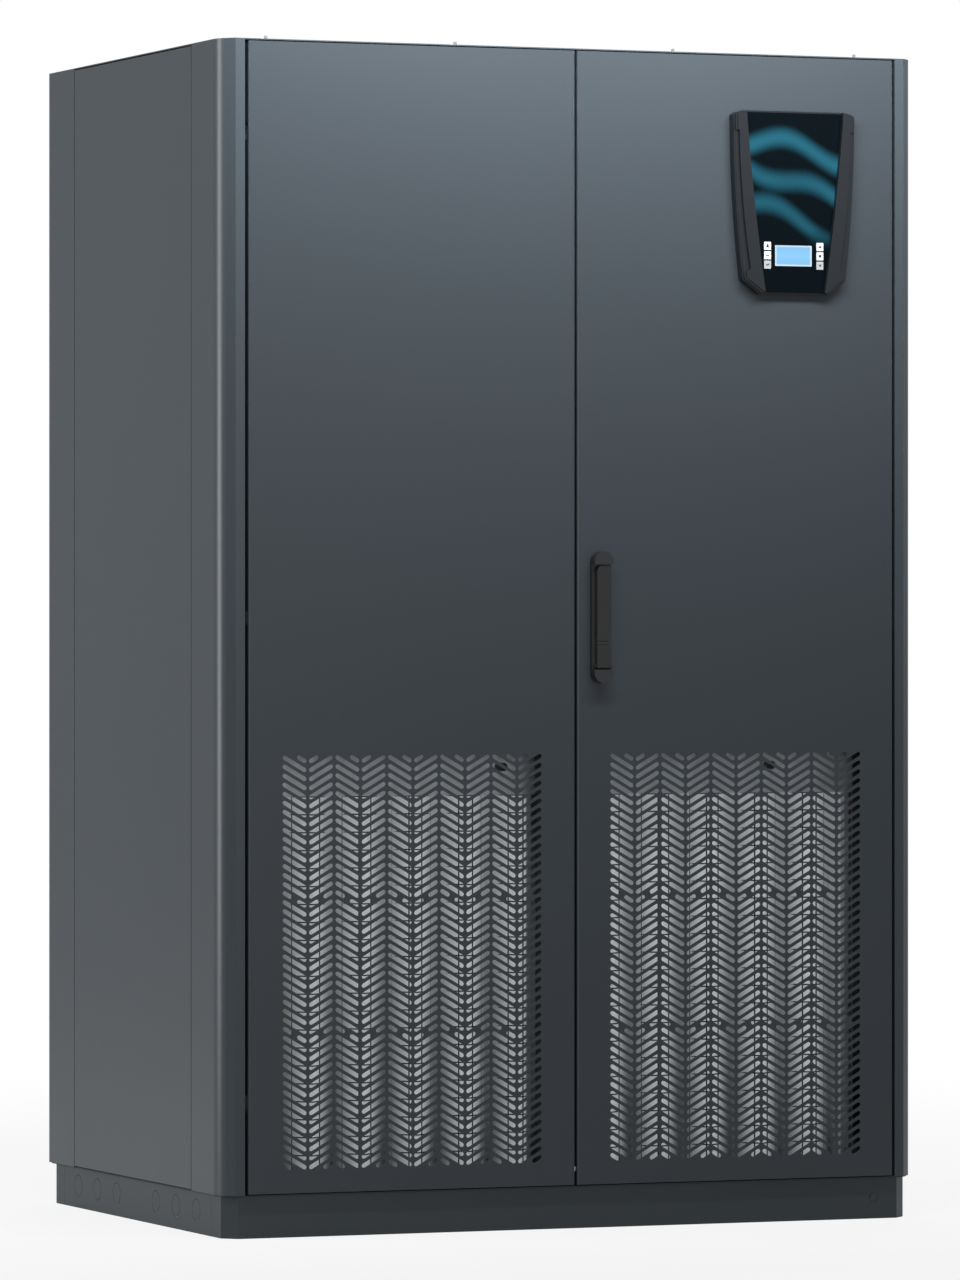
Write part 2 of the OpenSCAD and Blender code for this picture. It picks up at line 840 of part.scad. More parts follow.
// Swing lever, hinged at its top, with the notch for the lug and its own pin
module handle_lever() {
  x0 = handle_x - lever_w / 2;
  color("#232426") {
    difference() {
      intersection() {
        extrude_y(lever_y0, lever_y1) translate([handle_x, turn_z]) union() {
          circle(d = lever_w, $fn = round_fn);
          translate([-lever_w / 2, lever_z0 - turn_z]) square([lever_w, turn_z - lever_z0]);
        }
        union() {
          bar_x(x0, lift_y, lift_z, lever_t, lever_w);
          slab([x0, x0 + lever_w], [lever_y0, lever_y1], [lever_z0, lift_z]);
        }
      }
      slab([handle_x - lug_w / 2 - slack, handle_x + lug_w / 2 + slack], [lever_y0 + 1, lever_y1 + 1],
        [lift_z - 16, lift_z + lever_t]);
      // Finger scoop at the free end
      translate([x0 - 1, lever_y1 + 4, lever_z0 + 12]) rotate([0, 90, 0])
        cylinder(r = 7, h = lever_w + 2, $fn = small_fn);
    }
    bar_x(handle_x - lug_w / 2 - 3, lift_y, lift_z, lift_pin_d, lug_w + 6);
  }
}

// Hinged cover over the key barrel, turning outwards about its lower edge
module lock_flap() {
  color("#232426") {
    bar_x(handle_x - lever_w / 2, lift_y, flap_pin_z, lever_t, lever_w);
    bar_x(handle_x - lever_w / 2 - 3, lift_y, flap_pin_z, flap_pin_d, lever_w + 6);
    slab([handle_x - lever_w / 2, handle_x + lever_w / 2], [lever_y0, lever_y1], [flap_pin_z, flap_z1]);
  }
}

module lock_barrel() {
  color("#b9bcc0") difference() {
    bar_y(handle_x, plate_y, lock_z, lock_d, handle_plate_t + 6);
    slab([handle_x - 1.2, handle_x + 1.2], [plate_y - 1, plate_y + 6], [lock_z - 4, lock_z + 4]);
  }
}

rod_slot_h = rod_pin_d + 1.4;
rod_plate_w = 15;
rod_neck = 55;
keeper_gap = 1;
rod_end_inset = 20;

// Slotted end plate and flat neck of a rod. Side -1 is the upper rod, side 1 the lower one.
module rod_plate(side) {
  x = side * pin_offset;
  slot_x = x + side * 1.75;
  difference() {
    translate([x + side * 0.5 - 8.5, -rod_plate_t / 2, -side * pin_offset - rod_plate_w / 2])
      cube([17, rod_plate_t, rod_plate_w]);
    translate([slot_x - 4.75, -rod_plate_t, -side * pin_offset - rod_slot_h / 2])
      cube([9.5, 2 * rod_plate_t, rod_slot_h]);
  }
  z0 = side < 0 ? pin_offset + 7 : -pin_offset - rod_neck - 5;
  translate([x - 4, -rod_plate_t / 2, z0]) cube([8, rod_plate_t, rod_neck - 2]);
}

module upper_rod() {
  z0 = turn_z + pin_offset + rod_neck;
  color("#a9acb0") {
    translate([handle_x, rod_y, turn_z]) rod_plate(-1);
    translate([handle_x - pin_offset, rod_y, z0])
      cylinder(d = rod_d, h = door_z1 - rod_end_inset - z0, $fn = small_fn);
  }
}

module lower_rod() {
  z1 = turn_z - pin_offset - rod_neck;
  color("#a9acb0") {
    translate([handle_x, rod_y, turn_z]) rod_plate(1);
    translate([handle_x + pin_offset, rod_y, door_z0 + rod_end_inset])
      cylinder(d = rod_d, h = z1 - door_z0 - rod_end_inset, $fn = small_fn);
  }
}

guide_h = 14;

// Guide block with a bore for a rod
module rod_guide(x, z) {
  difference() {
    slab([x - 9, x + 9], [face_y + door_sheet_t, rod_y + rod_d / 2 + 3], [z, z + guide_h]);
    translate([x, rod_y, z - 1]) cylinder(d = rod_d + 0.8, h = guide_h + 2, $fn = small_fn);
  }
}

module rod_guides() {
  color("#1b1c1e") {
    for (z = [turn_z + 150, door_z1 - 120]) rod_guide(handle_x - pin_offset, z);
    for (z = [turn_z - 170, door_z0 + 110]) rod_guide(handle_x + pin_offset, z);
  }
}

// Shelf on the mullion with the hole that a rod is thrown into
module rod_keeper(x, z) {
  difference() {
    slab([x - 9, x + 9], [rod_y - rod_d, land_y], [z, z + 3]);
    translate([x, rod_y, z - 1]) cylinder(d = rod_d + 1.5, h = 5, $fn = small_fn);
  }
}

module rod_keepers() {
  color("#8a8d90") {
    rod_keeper(handle_x - pin_offset, door_z1 - rod_end_inset + keeper_gap);
    rod_keeper(handle_x + pin_offset, door_z0 + rod_end_inset - keeper_gap - 3);
  }
}

// ---------------------------------------------------------------- controller

glass_top_w = 180;
glass_bottom_w = 110;
outline_steps = 8;

// Half-width of the controller's outer edge at a share of its height, from below
function cheek_edge(s) = 96 + 17 * s * (2 - s);
// Half-width of the glass at a share of its height; the sides bow out slightly
function glass_edge(s) = (glass_bottom_w + (glass_top_w - glass_bottom_w) * s) / 2 + 3 * 4 * s * (1 - s);

cheek_low = 24;
cheek_high = 8;

// Outer edge points of the left half, from below
function outer_points() = [
  for (i = [0:outline_steps]) let (s = i / outline_steps)
    [-cheek_edge(s), cheek_low + s * (controller_h - cheek_low - cheek_high)]
];

// Inner edge points along the glass, from above
function inner_points(gap) = [
  for (i = [outline_steps:-1:0]) let (s = i / outline_steps)
    [-glass_edge(s) - gap, 3 + s * (controller_h - 6)]
];

module back_outline() {
  points = concat([[-64, 0]], outer_points(), [[-108, controller_h - 4], [-92, controller_h]]);
  polygon(concat(points, [for (i = [len(points) - 1:-1:0]) [-points[i][0], points[i][1]]]));
}

// Left cheek in front view, drawn in by an inset on its outer side
module cheek_outline(inset) {
  polygon(concat(
    [[-64 + inset / 2, inset]],
    [for (p = outer_points()) [p[0] + inset, max(p[1], cheek_low + inset / 2)]],
    [[-108 + inset, controller_h - 4 - inset / 2], [-92 + inset / 4, controller_h - inset / 2]],
    inner_points(0.3)
  ));
}

module at_controller() {
  translate([controller_x, 0, controller_z]) children();
}

pocket_d = 9;
button_h = button_w + 1;

// Holes for the six buttons, between two depths
module button_holes(y0, y1) {
  w = button_w / 2 + button_gap;
  h = button_h / 2 + button_gap;
  for (side = [-1, 1], z = button_zs)
    slab([side * button_x - w, side * button_x + w], [y0, y1], [z - h, z + h]);
}

module controller_body() {
  color("#2c2f32") at_controller() difference() {
    union() {
      extrude_y(glass_y + glass_t + 0.2, face_y) back_outline();
      both_sides() {
        extrude_y(glass_y - cheek_proud * 0.3, glass_y + glass_t + 0.2) cheek_outline(0);
        extrude_y(glass_y - cheek_proud * 0.75, glass_y) cheek_outline(2.5);
        extrude_y(glass_y - cheek_proud, glass_y) cheek_outline(6);
      }
    }
    both_sides() cheek_recess();
    slab([-display_w / 2, display_w / 2], [glass_y, glass_y + pocket_d],
      [display_z - display_h / 2, display_z + display_h / 2]);
    button_holes(glass_y, glass_y + pocket_d);
  }
}

// Long shallow hollow on the outer side of the left cheek, between its top cap and its foot
module cheek_recess() {
  z0 = 34;
  z1 = controller_h - 34;
  steps = 6;
  extrude_y(glass_y - cheek_proud - 1, glass_y - cheek_proud * 0.4) polygon(concat(
    [for (i = [0:steps]) let (s = i / steps) [-cheek_edge(s) - 1, z0 + s * (z1 - z0)]],
    [for (i = [steps:-1:0]) let (s = i / steps)
      [-cheek_edge(s) + 9 + 4 * (1 - s), z0 + 8 + s * (z1 - z0 - 8)]]
  ));
}

module controller_glass() {
  left = inner_points(0);
  color("#0b0d10") at_controller() difference() {
    extrude_y(glass_y, glass_y + glass_t)
      polygon(concat(left, [for (i = [len(left) - 1:-1:0]) [-left[i][0], left[i][1]]]));
    slab([-display_w / 2, display_w / 2], [glass_y - 1, glass_y + glass_t + 1],
      [display_z - display_h / 2, display_z + display_h / 2]);
    button_holes(glass_y - 1, glass_y + glass_t + 1);
  }
}

module controller_display() {
  color("#8fc4ea") at_controller()
    slab([slack - display_w / 2, display_w / 2 - slack], [glass_y + 0.8, glass_y + pocket_d],
      [display_z - display_h / 2 + slack, display_z + display_h / 2 - slack]);
}

button_travel = 0.8;

// Push button, standing just in front of the glass
module button(side, z) {
  x = side * button_x;
  y = [glass_y - button_travel - 0.4, glass_y + pocket_d - button_travel - 0.4];
  color("#e6e8ea") at_controller()
    slab([x - button_w / 2, x + button_w / 2], y, [z - button_h / 2, z + button_h / 2]);
}

module button_left_top() {
  button(-1, button_zs[0]);
}

module button_left_middle() {
  button(-1, button_zs[1]);
}

module button_left_bottom() {
  button(-1, button_zs[2]);
}

module button_right_top() {
  button(1, button_zs[0]);
}

module button_right_middle() {
  button(1, button_zs[1]);
}

module button_right_bottom() {
  button(1, button_zs[2]);
}

// ---------------------------------------------------------------- fans

deck_y0 = land_y + 30;
deck_y1 = rear_y - rear_panel_d - sheet_t - 2 * slack;

module fan_deck() {
  color("#b4b8bb") difference() {
    slab([slack - side_inner_x, side_inner_x - slack], [deck_y0, deck_y1], [deck_z, deck_z + sheet_t]);
    for (side = [-1, 1]) translate([side * bay_x, fan_y, deck_z - 1])
      cylinder(d = throat_d + 80, h = sheet_t + 2, $fn = round_fn);
  }
}

// Bell-mouth ring, from its flange on the deck up into the wheel
module fan_inlet() {
  r = throat_d / 2;
  flare = 36;
  t = 2;
  rotate_extrude($fn = round_fn) {
    translate([r + flare, 0]) square([30, t]);
    intersection() {
      translate([r + flare, flare]) difference() {
        circle(flare, $fn = round_fn);
        circle(flare - t, $fn = round_fn);
      }
      translate([r, 0]) square(flare);
    }
    translate([r, flare]) square([t, 10]);
  }
}

module fan_inlets() {
  color("#c4c8cb") for (side = [-1, 1]) translate([side * bay_x, fan_y, deck_z + sheet_t]) fan_inlet();
}

blades = 7;
hub_d = 200;

// Backward-curved wheel: shroud ring below, back plate above, blades between
module fan_wheel() {
  t = 3;
  inner_r = throat_d / 2 + 12;
  translate([0, 0, wheel_z + 14]) {
    difference() {
      cylinder(d = wheel_d, h = t, $fn = round_fn);
      translate([0, 0, -1]) cylinder(r = inner_r, h = t + 2, $fn = round_fn);
    }
    translate([0, 0, wheel_h - t]) difference() {
      cylinder(d = wheel_d, h = t, $fn = round_fn);
      translate([0, 0, -1]) cylinder(r = shaft_d / 2 + running_gap, h = t + 2, $fn = small_fn);
    }
    for (i = [0:blades - 1]) rotate(i * 360 / blades) linear_extrude(wheel_h) intersection() {
      difference() {
        circle(d = wheel_d - 2, $fn = round_fn);
        circle(r = inner_r + 2, $fn = round_fn);
      }
      translate([blade_r * 0.8, 0]) difference() {
        circle(blade_r, $fn = round_fn);
        circle(blade_r - t, $fn = round_fn);
      }
      square(wheel_d);
    }
    // Rotor of the motor on the back plate
    translate([0, 0, wheel_h]) difference() {
      cylinder(d = hub_d, h = rotor_h, $fn = round_fn);
      translate([0, 0, -1]) cylinder(r = shaft_d / 2 + running_gap, h = rotor_h + 2, $fn = small_fn);
    }
  }
}

blade_r = 150;
shaft_d = 30;
rotor_h = 60;

module left_fan_wheel() {
  color("#24272a") translate([-bay_x, fan_y, 0]) fan_wheel();
}

module right_fan_wheel() {
  color("#24272a") translate([bay_x, fan_y, 0]) fan_wheel();
}

// Stator on its spider, held over the wheel by four posts on the deck
module fan_motor() {
  top_z = wheel_z + 14 + wheel_h + rotor_h + 1;
  reach = wheel_d / 2 + 16;
  translate([0, 0, wheel_z + 16 + wheel_h]) cylinder(d = shaft_d, h = rotor_h, $fn = small_fn);
  translate([0, 0, top_z]) cylinder(d = hub_d - 10, h = 34, $fn = round_fn);
  for (a = [45:90:315]) rotate(a) {
    slab([hub_d / 2 - 12, reach + 5], [-9, 9], [top_z + 20, top_z + 28]);
    translate([reach, 0, deck_z + sheet_t])
      cylinder(d = 10, h = top_z + 20 - deck_z - sheet_t, $fn = small_fn);
  }
}

module fan_motors() {
  color("#3a3d40") for (side = [-1, 1]) translate([side * bay_x, fan_y, 0]) fan_motor();
}

// ---------------------------------------------------------------- coil, pipes and tray

plate_t = 2;
tube_pitch = 50;
tube_rows = 2;
bend_d = 16;

// Puts the children into the coil's own upright frame, leaning back
module lean() {
  translate([0, coil_y, coil_z]) rotate([-coil_lean, 0, 0]) children();
}

module coil_fins() {
  color("#c3c7ca") lean()
    slab([fin_x0, coil_x1 - plate_t - slack], [5, coil_t - 5], [4, coil_len - 4]);
}

// End plates and edge channels round the fins
module coil_frame() {
  color("#9fa3a6") lean() difference() {
    slab([fin_x0 - plate_t - slack, coil_x1], [0, coil_t], [0, coil_len]);
    slab([fin_x0 - slack, coil_x1 - plate_t], [-1, coil_t + 1], [plate_t, coil_len - plate_t]);
  }
}

bend_count = floor((coil_len - 100) / (2 * tube_pitch));

// Half-ring tube bend in the Y-Z plane side of an end plate, opening towards +X
module return_bend() {
  rotate([90, 0, 0]) rotate([0, 0, 90]) rotate_extrude(angle = 180, $fn = small_fn)
    translate([tube_pitch / 2, 0]) circle(d = bend_d, $fn = small_fn);
}

lane_x = [coil_x1 + 62, coil_x1 + 20];
header_y = [0, coil_t];
header_z = [60, coil_len - 50];
run_z = [330, 270];
stub_y = [rear_y - 250, rear_y - 130];
stub_z0 = 20;
stub_d = pipe_d + 7;
stub_h = 46;
valve_y = [60, 150];

// Depth at which a header's axis passes a height, in the cabinet's frame
function header_depth(i, z) =
  coil_y + header_y[i] * cos(coil_lean) + (z - coil_z + header_y[i] * sin(coil_lean)) * tan(coil_lean);

// Pipe along Y with a round elbow at its rear end, going down to the base
module pipe_run(i) {
  x = lane_x[i];
  y0 = header_depth(i, run_z[i]);
  difference() {
    bar_y(x, y0, run_z[i], pipe_d, stub_y[i] - y0);
    if (i == 1) slab([x - pipe_d, x + pipe_d], [valve_y[0] - slack, valve_y[1] + slack],
      [run_z[i] - pipe_d, run_z[i] + pipe_d]);
  }
  translate([x, stub_y[i], run_z[i]]) sphere(d = pipe_d, $fn = small_fn);
  translate([x, stub_y[i], stub_z0 + stub_h])
    cylinder(d = pipe_d, h = run_z[i] - stub_z0 - stub_h, $fn = small_fn);
  translate([x, stub_y[i], stub_z0]) cylinder(d = stub_d, h = stub_h, $fn = round_fn);
}

module coil_pipes() {
  color("#b06a3c") {
    lean() {
      // Return bends beyond the left end plate
      for (row = [0:tube_rows - 1], i = [0:bend_count - 1])
        translate([fin_x0 - plate_t - slack, 30 + row * 40, 60 + (2 * i + 0.5) * tube_pitch])
          return_bend();
      // Headers beyond the right end plate, with their feeders
      for (i = [0, 1]) {
        for (z = header_z) translate([lane_x[i], header_y[i], z]) sphere(d = pipe_d, $fn = small_fn);
        translate([lane_x[i], header_y[i], header_z[0]])
          cylinder(d = pipe_d, h = header_z[1] - header_z[0], $fn = small_fn);
        for (k = [0:bend_count - 1])
          bar_x(coil_x1, abs(header_y[i] - 8), 90 + 2 * k * tube_pitch, 12, lane_x[i] - coil_x1);
      }
    }
    for (i = [0, 1]) pipe_run(i);
  }
}

// Two-way valve in the return pipe, with its motor on top
module control_valve() {
  x = lane_x[1];
  z = run_z[1];
  middle = (valve_y[0] + valve_y[1]) / 2;
  color("#b08d4a") {
    bar_y(x, valve_y[0], z, pipe_d + 10, 16, 6);
    bar_y(x, valve_y[1] - 16, z, pipe_d + 10, 16, 6);
    bar_y(x, valve_y[0] + 10, z, pipe_d + 2, valve_y[1] - valve_y[0] - 20);
    translate([x, middle, z]) cylinder(d = 18, h = 50, $fn = small_fn);
  }
  color("#d9dbdc") {
    translate([x, middle, z + 40]) cylinder(d = 40, h = 26, $fn = small_fn);
    slab([x - 20, x + 20], [middle - 32, middle + 32], [z + 60, z + 120]);
  }
}

module drip_tray() {
  t = sheet_t;
  x = [8 - side_inner_x, side_inner_x - 8];
  y = [filter_y + filter_d + 5, coil_y + 160];
  z = [body_z, coil_z - 8];
  color("#aeb2b5") difference() {
    union() {
      slab(x, y, z);
      bar_y(x[1] - 150, y[1] - t, z[0] + 16, 24, 40);
    }
    slab([x[0] + t, x[1] - t], [y[0] + t, y[1] - t], [z[0] + t, z[1] + 1]);
    bar_y(x[1] - 150, y[1] - 2 * t, z[0] + 16, 19, 50);
  }
  // Rests under the coil's lower rear edge
  rest_y = coil_y + coil_t * cos(coil_lean);
  rest_z = coil_z - coil_t * sin(coil_lean) - 0.15;
  color("#aeb2b5") for (rest_x = [-500, -15, 470])
    slab([rest_x, rest_x + 30], [rest_y - 20, rest_y + 20], [z[0] + t, rest_z]);
}

// ---------------------------------------------------------------- filters

module filter_frames() {
  t = 2;
  color("#c9cccf") both_sides() difference() {
    slab([filter_x0, filter_x0 + filter_w], [filter_y, filter_y + filter_d],
      [filter_z0, filter_z0 + filter_h]);
    slab([filter_x0 + t, filter_x0 + filter_w - t], [filter_y + t, filter_y + filter_d - t],
      [filter_z0 + t, filter_z0 + filter_h - t]);
    slab([filter_x0 + 8, filter_x0 + filter_w - 8], [filter_y - 1, filter_y + filter_d + 1],
      [filter_z0 + 8, filter_z0 + filter_h - 8]);
  }
}

media_t = 3;
pleat_starts = [39.7, 85.7];

// Folded sheet in plan: a zigzag of equal thickness, with its first rear fold at start
module pleats(width, start) {
  half = pleat_pitch / 2;
  rise = sqrt(pow(pleat_depth, 2) + pow(half, 2)) / half * media_t;
  folds = [for (i = [-4:2 * ceil(width / pleat_pitch) + 2]) i];
  back = len(folds) - 1;
  intersection() {
    square([width, pleat_depth]);
    polygon(concat(
      [for (i = folds) [start + i * half, i % 2 == 0 ? pleat_depth - rise : 0]],
      [for (k = [back:-1:0]) [start + folds[k] * half, folds[k] % 2 == 0 ? pleat_depth : rise]]
    ));
  }
}

module filter_media() {
  edge = 2 + slack;
  w = filter_w - 2 * edge;
  color("#b9bcbb") for (bank = [[-filter_x0 - filter_w, pleat_starts[0]], [filter_x0, pleat_starts[1]]])
    translate([bank[0] + edge, filter_y + (filter_d - pleat_depth) / 2, filter_z0 + edge])
      linear_extrude(filter_h - 2 * edge) pleats(w, bank[1]);
}

rail_x = filter_x0 + filter_w + 6;

// Upper and lower guide channels of the filters, and their end posts
module filter_rails() {
  y = [filter_y - 3, filter_y + filter_d + 3];
  t = 1.5;
  z_low = filter_z0;
  z_high = filter_z0 + filter_h + slack;
  color("#b4b8bb") {
    slab([-rail_x, rail_x], y, [body_z, body_z + t]);
    slab([-rail_x, rail_x], y, [z_low - t, z_low]);
    for (x = [-rail_x + 8, -8, rail_x - 24]) slab([x, x + 16], [y[0] + 4, y[1] - 4], [body_z + t, z_low - t]);
    difference() {
      union() {
        slab([-rail_x, rail_x], [y[0], y[0] + t], [z_high - 14, z_high + 66]);
        slab([-rail_x, rail_x], [y[1] - t, y[1]], [z_high - 14, z_high + 66]);
        slab([-rail_x, rail_x], y, [z_high, z_high + t]);
      }
      for (x = [-111, 386]) translate([x, y[0] - 1, z_high + 33]) rotate([-90, 0, 0]) {
        translate([-5, 0, 0]) cylinder(d = 14, h = 4, $fn = small_fn);
        translate([5, 0, 0]) cylinder(d = 14, h = 4, $fn = small_fn);
        translate([-5, -7, 0]) cube([10, 14, 4]);
      }
    }
    for (x = [-rail_x, rail_x - t]) slab([x, x + t], y, [z_low, z_high - 14]);
  }
}

// ---------------------------------------------------------------- electrical box

box_x = [-520, 120];
box_z = [1290, 1860];
knob_x = -380;
knob_z = 1700;

module electrical_box() {
  color("#aeb2b5") difference() {
    union() {
      slab(box_x, [box_y0 + 2, box_y0 + box_d], box_z);
      slab([box_x[0] - 6, box_x[1] + 6], [box_y0, box_y0 + 2], [box_z[0] - 6, box_z[1] + 6]);
      bar_y(knob_x, box_y0 - 3, knob_z, 46, 4);
    }
    slab([box_x[0] + 2, box_x[1] - 2], [box_y0 + 4, box_y0 + box_d - 2], [box_z[0] + 2, box_z[1] - 2]);
    bar_y(knob_x, box_y0 - 4, knob_z, 8.16, 10);
  }
}

module isolator_knob() {
  y = box_y0 - 3.3;
  color("#b3302a") {
    bar_y(knob_x, y - 3, knob_z, 36, 3, round_fn);
    slab([knob_x - 5, knob_x + 5], [y - 11, y - 3], [knob_z - 17, knob_z + 17]);
    bar_y(knob_x, y - 1, knob_z, 8, 9);
  }
}

plinth_front();
plinth_rear();
left_plinth_side();
right_plinth_side();
base_tray();
left_front_post();
right_front_post();
left_rear_post();
right_rear_post();
front_rails();
roof_panel();
roof_bolts();
left_side_panel();
right_side_panel();
side_insulation();
rear_panel();
panel_screws();
door_catch();
hinge_brackets();
rod_keepers();
left_door_skin();
left_door_lining();
left_door_seal();
left_hinge_sleeves();
right_door_skin();
right_door_lining();
right_door_seal();
right_hinge_sleeves();
rod_guides();
handle_plate();
handle_spindle();
handle_lever();
lock_flap();
lock_barrel();
upper_rod();
lower_rod();
controller_body();
controller_glass();
controller_display();
button_left_top();
button_left_middle();
button_left_bottom();
button_right_top();
button_right_middle();
button_right_bottom();
fan_deck();
fan_inlets();
left_fan_wheel();
right_fan_wheel();
fan_motors();
coil_fins();
coil_frame();
coil_pipes();
control_valve();
drip_tray();
filter_frames();
filter_media();
filter_rails();
electrical_box();
isolator_knob();
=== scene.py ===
"""Studio scene of a two-door cooling cabinet: its finishes, fine details, lights and camera."""

import logging
import math
from dataclasses import dataclass, field
from enum import Enum
from typing import Any, Dict, List, Optional, Sequence, Tuple, Union

import bmesh
import bpy
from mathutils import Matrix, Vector


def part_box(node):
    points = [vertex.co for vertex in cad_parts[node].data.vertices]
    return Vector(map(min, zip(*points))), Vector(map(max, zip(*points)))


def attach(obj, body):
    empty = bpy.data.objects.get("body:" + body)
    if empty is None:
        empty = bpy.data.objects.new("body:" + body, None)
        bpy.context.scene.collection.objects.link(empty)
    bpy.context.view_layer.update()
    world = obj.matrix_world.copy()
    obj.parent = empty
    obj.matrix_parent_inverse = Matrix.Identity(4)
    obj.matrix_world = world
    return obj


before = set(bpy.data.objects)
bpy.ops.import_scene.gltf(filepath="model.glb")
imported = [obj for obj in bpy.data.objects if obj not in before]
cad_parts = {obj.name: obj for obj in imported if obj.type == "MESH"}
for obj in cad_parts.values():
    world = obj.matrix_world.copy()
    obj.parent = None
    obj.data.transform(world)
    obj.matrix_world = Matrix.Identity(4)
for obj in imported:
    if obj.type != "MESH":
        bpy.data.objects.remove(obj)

LOG = logging.getLogger("cooling_cabinet")
RGB = Tuple[float, float, float]
Point = Tuple[float, float, float]
Operand = Union["Term", float, Sequence[float]]
BLACK: RGB = (0.0, 0.0, 0.0)
WHITE: RGB = (1.0, 1.0, 1.0)


class Sort(Enum):
    """What a shader socket carries."""

    NUMBER = "number"
    COLOUR = "colour"
    VECTOR = "vector"


class Side(Enum):
    """Left or right of the cabinet, with the sign of X on that side."""

    LEFT = -1
    RIGHT = 1


def linear(colour: RGB) -> RGB:
    """Turns a display colour into a linear one.

    Args:
        colour: Red, green and blue from 0 to 255 as a screen shows them.

    Returns:
        The same colour as linear values from 0 to 1.
    """
    shares = [channel / 255 for channel in colour]
    return tuple(s / 12.92 if s <= 0.04045 else ((s + 0.055) / 1.055) ** 2.4 for s in shares)


class Term:
    """A shader socket that takes part in Python arithmetic."""

    def __init__(self, tree: "ShaderTree", socket: bpy.types.NodeSocket, sort: Sort) -> None:
        """Wraps a socket.

        Args:
            tree: The tree that the socket belongs to.
            socket: The output socket.
            sort: What the socket carries.
        """
        self.tree = tree
        self.socket = socket
        self.sort = sort

    def _join(self, operation: str, other: Operand, flipped: bool = False) -> "Term":
        """Adds the node that combines this term with another operand.

        Args:
            operation: ADD, SUBTRACT, MULTIPLY or DIVIDE.
            other: The second operand.
            flipped: True if the other operand stands first.

        Returns:
            The result as a new term.
        """
        first, second = (other, self) if flipped else (self, other)
        sorts = {t.sort for t in (first, second) if isinstance(t, Term)}
        if Sort.COLOUR in sorts:
            return self.tree.node("ShaderNodeMix", {"data_type": "RGBA", "blend_type": operation},
                                  {0: 1.0, 6: first, 7: second}, 2, Sort.COLOUR)
        if Sort.VECTOR in sorts:
            return self.tree.node("ShaderNodeVectorMath", {"operation": operation},
                                  {0: first, 1: second}, 0, Sort.VECTOR)
        return self.tree.node("ShaderNodeMath", {"operation": operation}, {0: first, 1: second})

    def __add__(self, other: Operand) -> "Term":
        """Sum."""
        return self._join("ADD", other)

    def __radd__(self, other: Operand) -> "Term":
        """Sum with the operands swapped."""
        return self._join("ADD", other, True)

    def __sub__(self, other: Operand) -> "Term":
        """Difference."""
        return self._join("SUBTRACT", other)

    def __rsub__(self, other: Operand) -> "Term":
        """Difference with the operands swapped."""
        return self._join("SUBTRACT", other, True)

    def __mul__(self, other: Operand) -> "Term":
        """Product."""
        return self._join("MULTIPLY", other)

    def __rmul__(self, other: Operand) -> "Term":
        """Product with the operands swapped."""
        return self._join("MULTIPLY", other, True)

    def __truediv__(self, other: Operand) -> "Term":
        """Quotient."""
        return self._join("DIVIDE", other)

    def __rtruediv__(self, other: Operand) -> "Term":
        """Quotient with the operands swapped."""
        return self._join("DIVIDE", other, True)

    def _function(self, operation: str) -> "Term":
        """A Math node of this term alone."""
        return self.tree.node("ShaderNodeMath", {"operation": operation}, {0: self})

    def magnitude(self) -> "Term":
        """The value without its sign."""
        return self._function("ABSOLUTE")

    def wave(self) -> "Term":
        """The sine of the value."""
        return self._function("SINE")

    def fraction(self) -> "Term":
        """The part after the decimal point."""
        return self._function("FRACT")

    def step(self, start: float, end: float) -> "Term":
        """A smooth ramp.

        Args:
            start: The value at which the ramp is 0.
            end: The value at which the ramp is 1.

        Returns:
            A number from 0 to 1.
        """
        settings = {"interpolation_type": "SMOOTHSTEP", "clamp": True}
        inputs = {0: self, 1: start, 2: end, 3: 0.0, 4: 1.0}
        return self.tree.node("ShaderNodeMapRange", settings, inputs)

    def axis(self, index: int) -> "Term":
        """One coordinate of a vector: 0 for X, 1 for Y, 2 for Z."""
        return self.tree.node("ShaderNodeSeparateXYZ", {}, {0: self}, index)


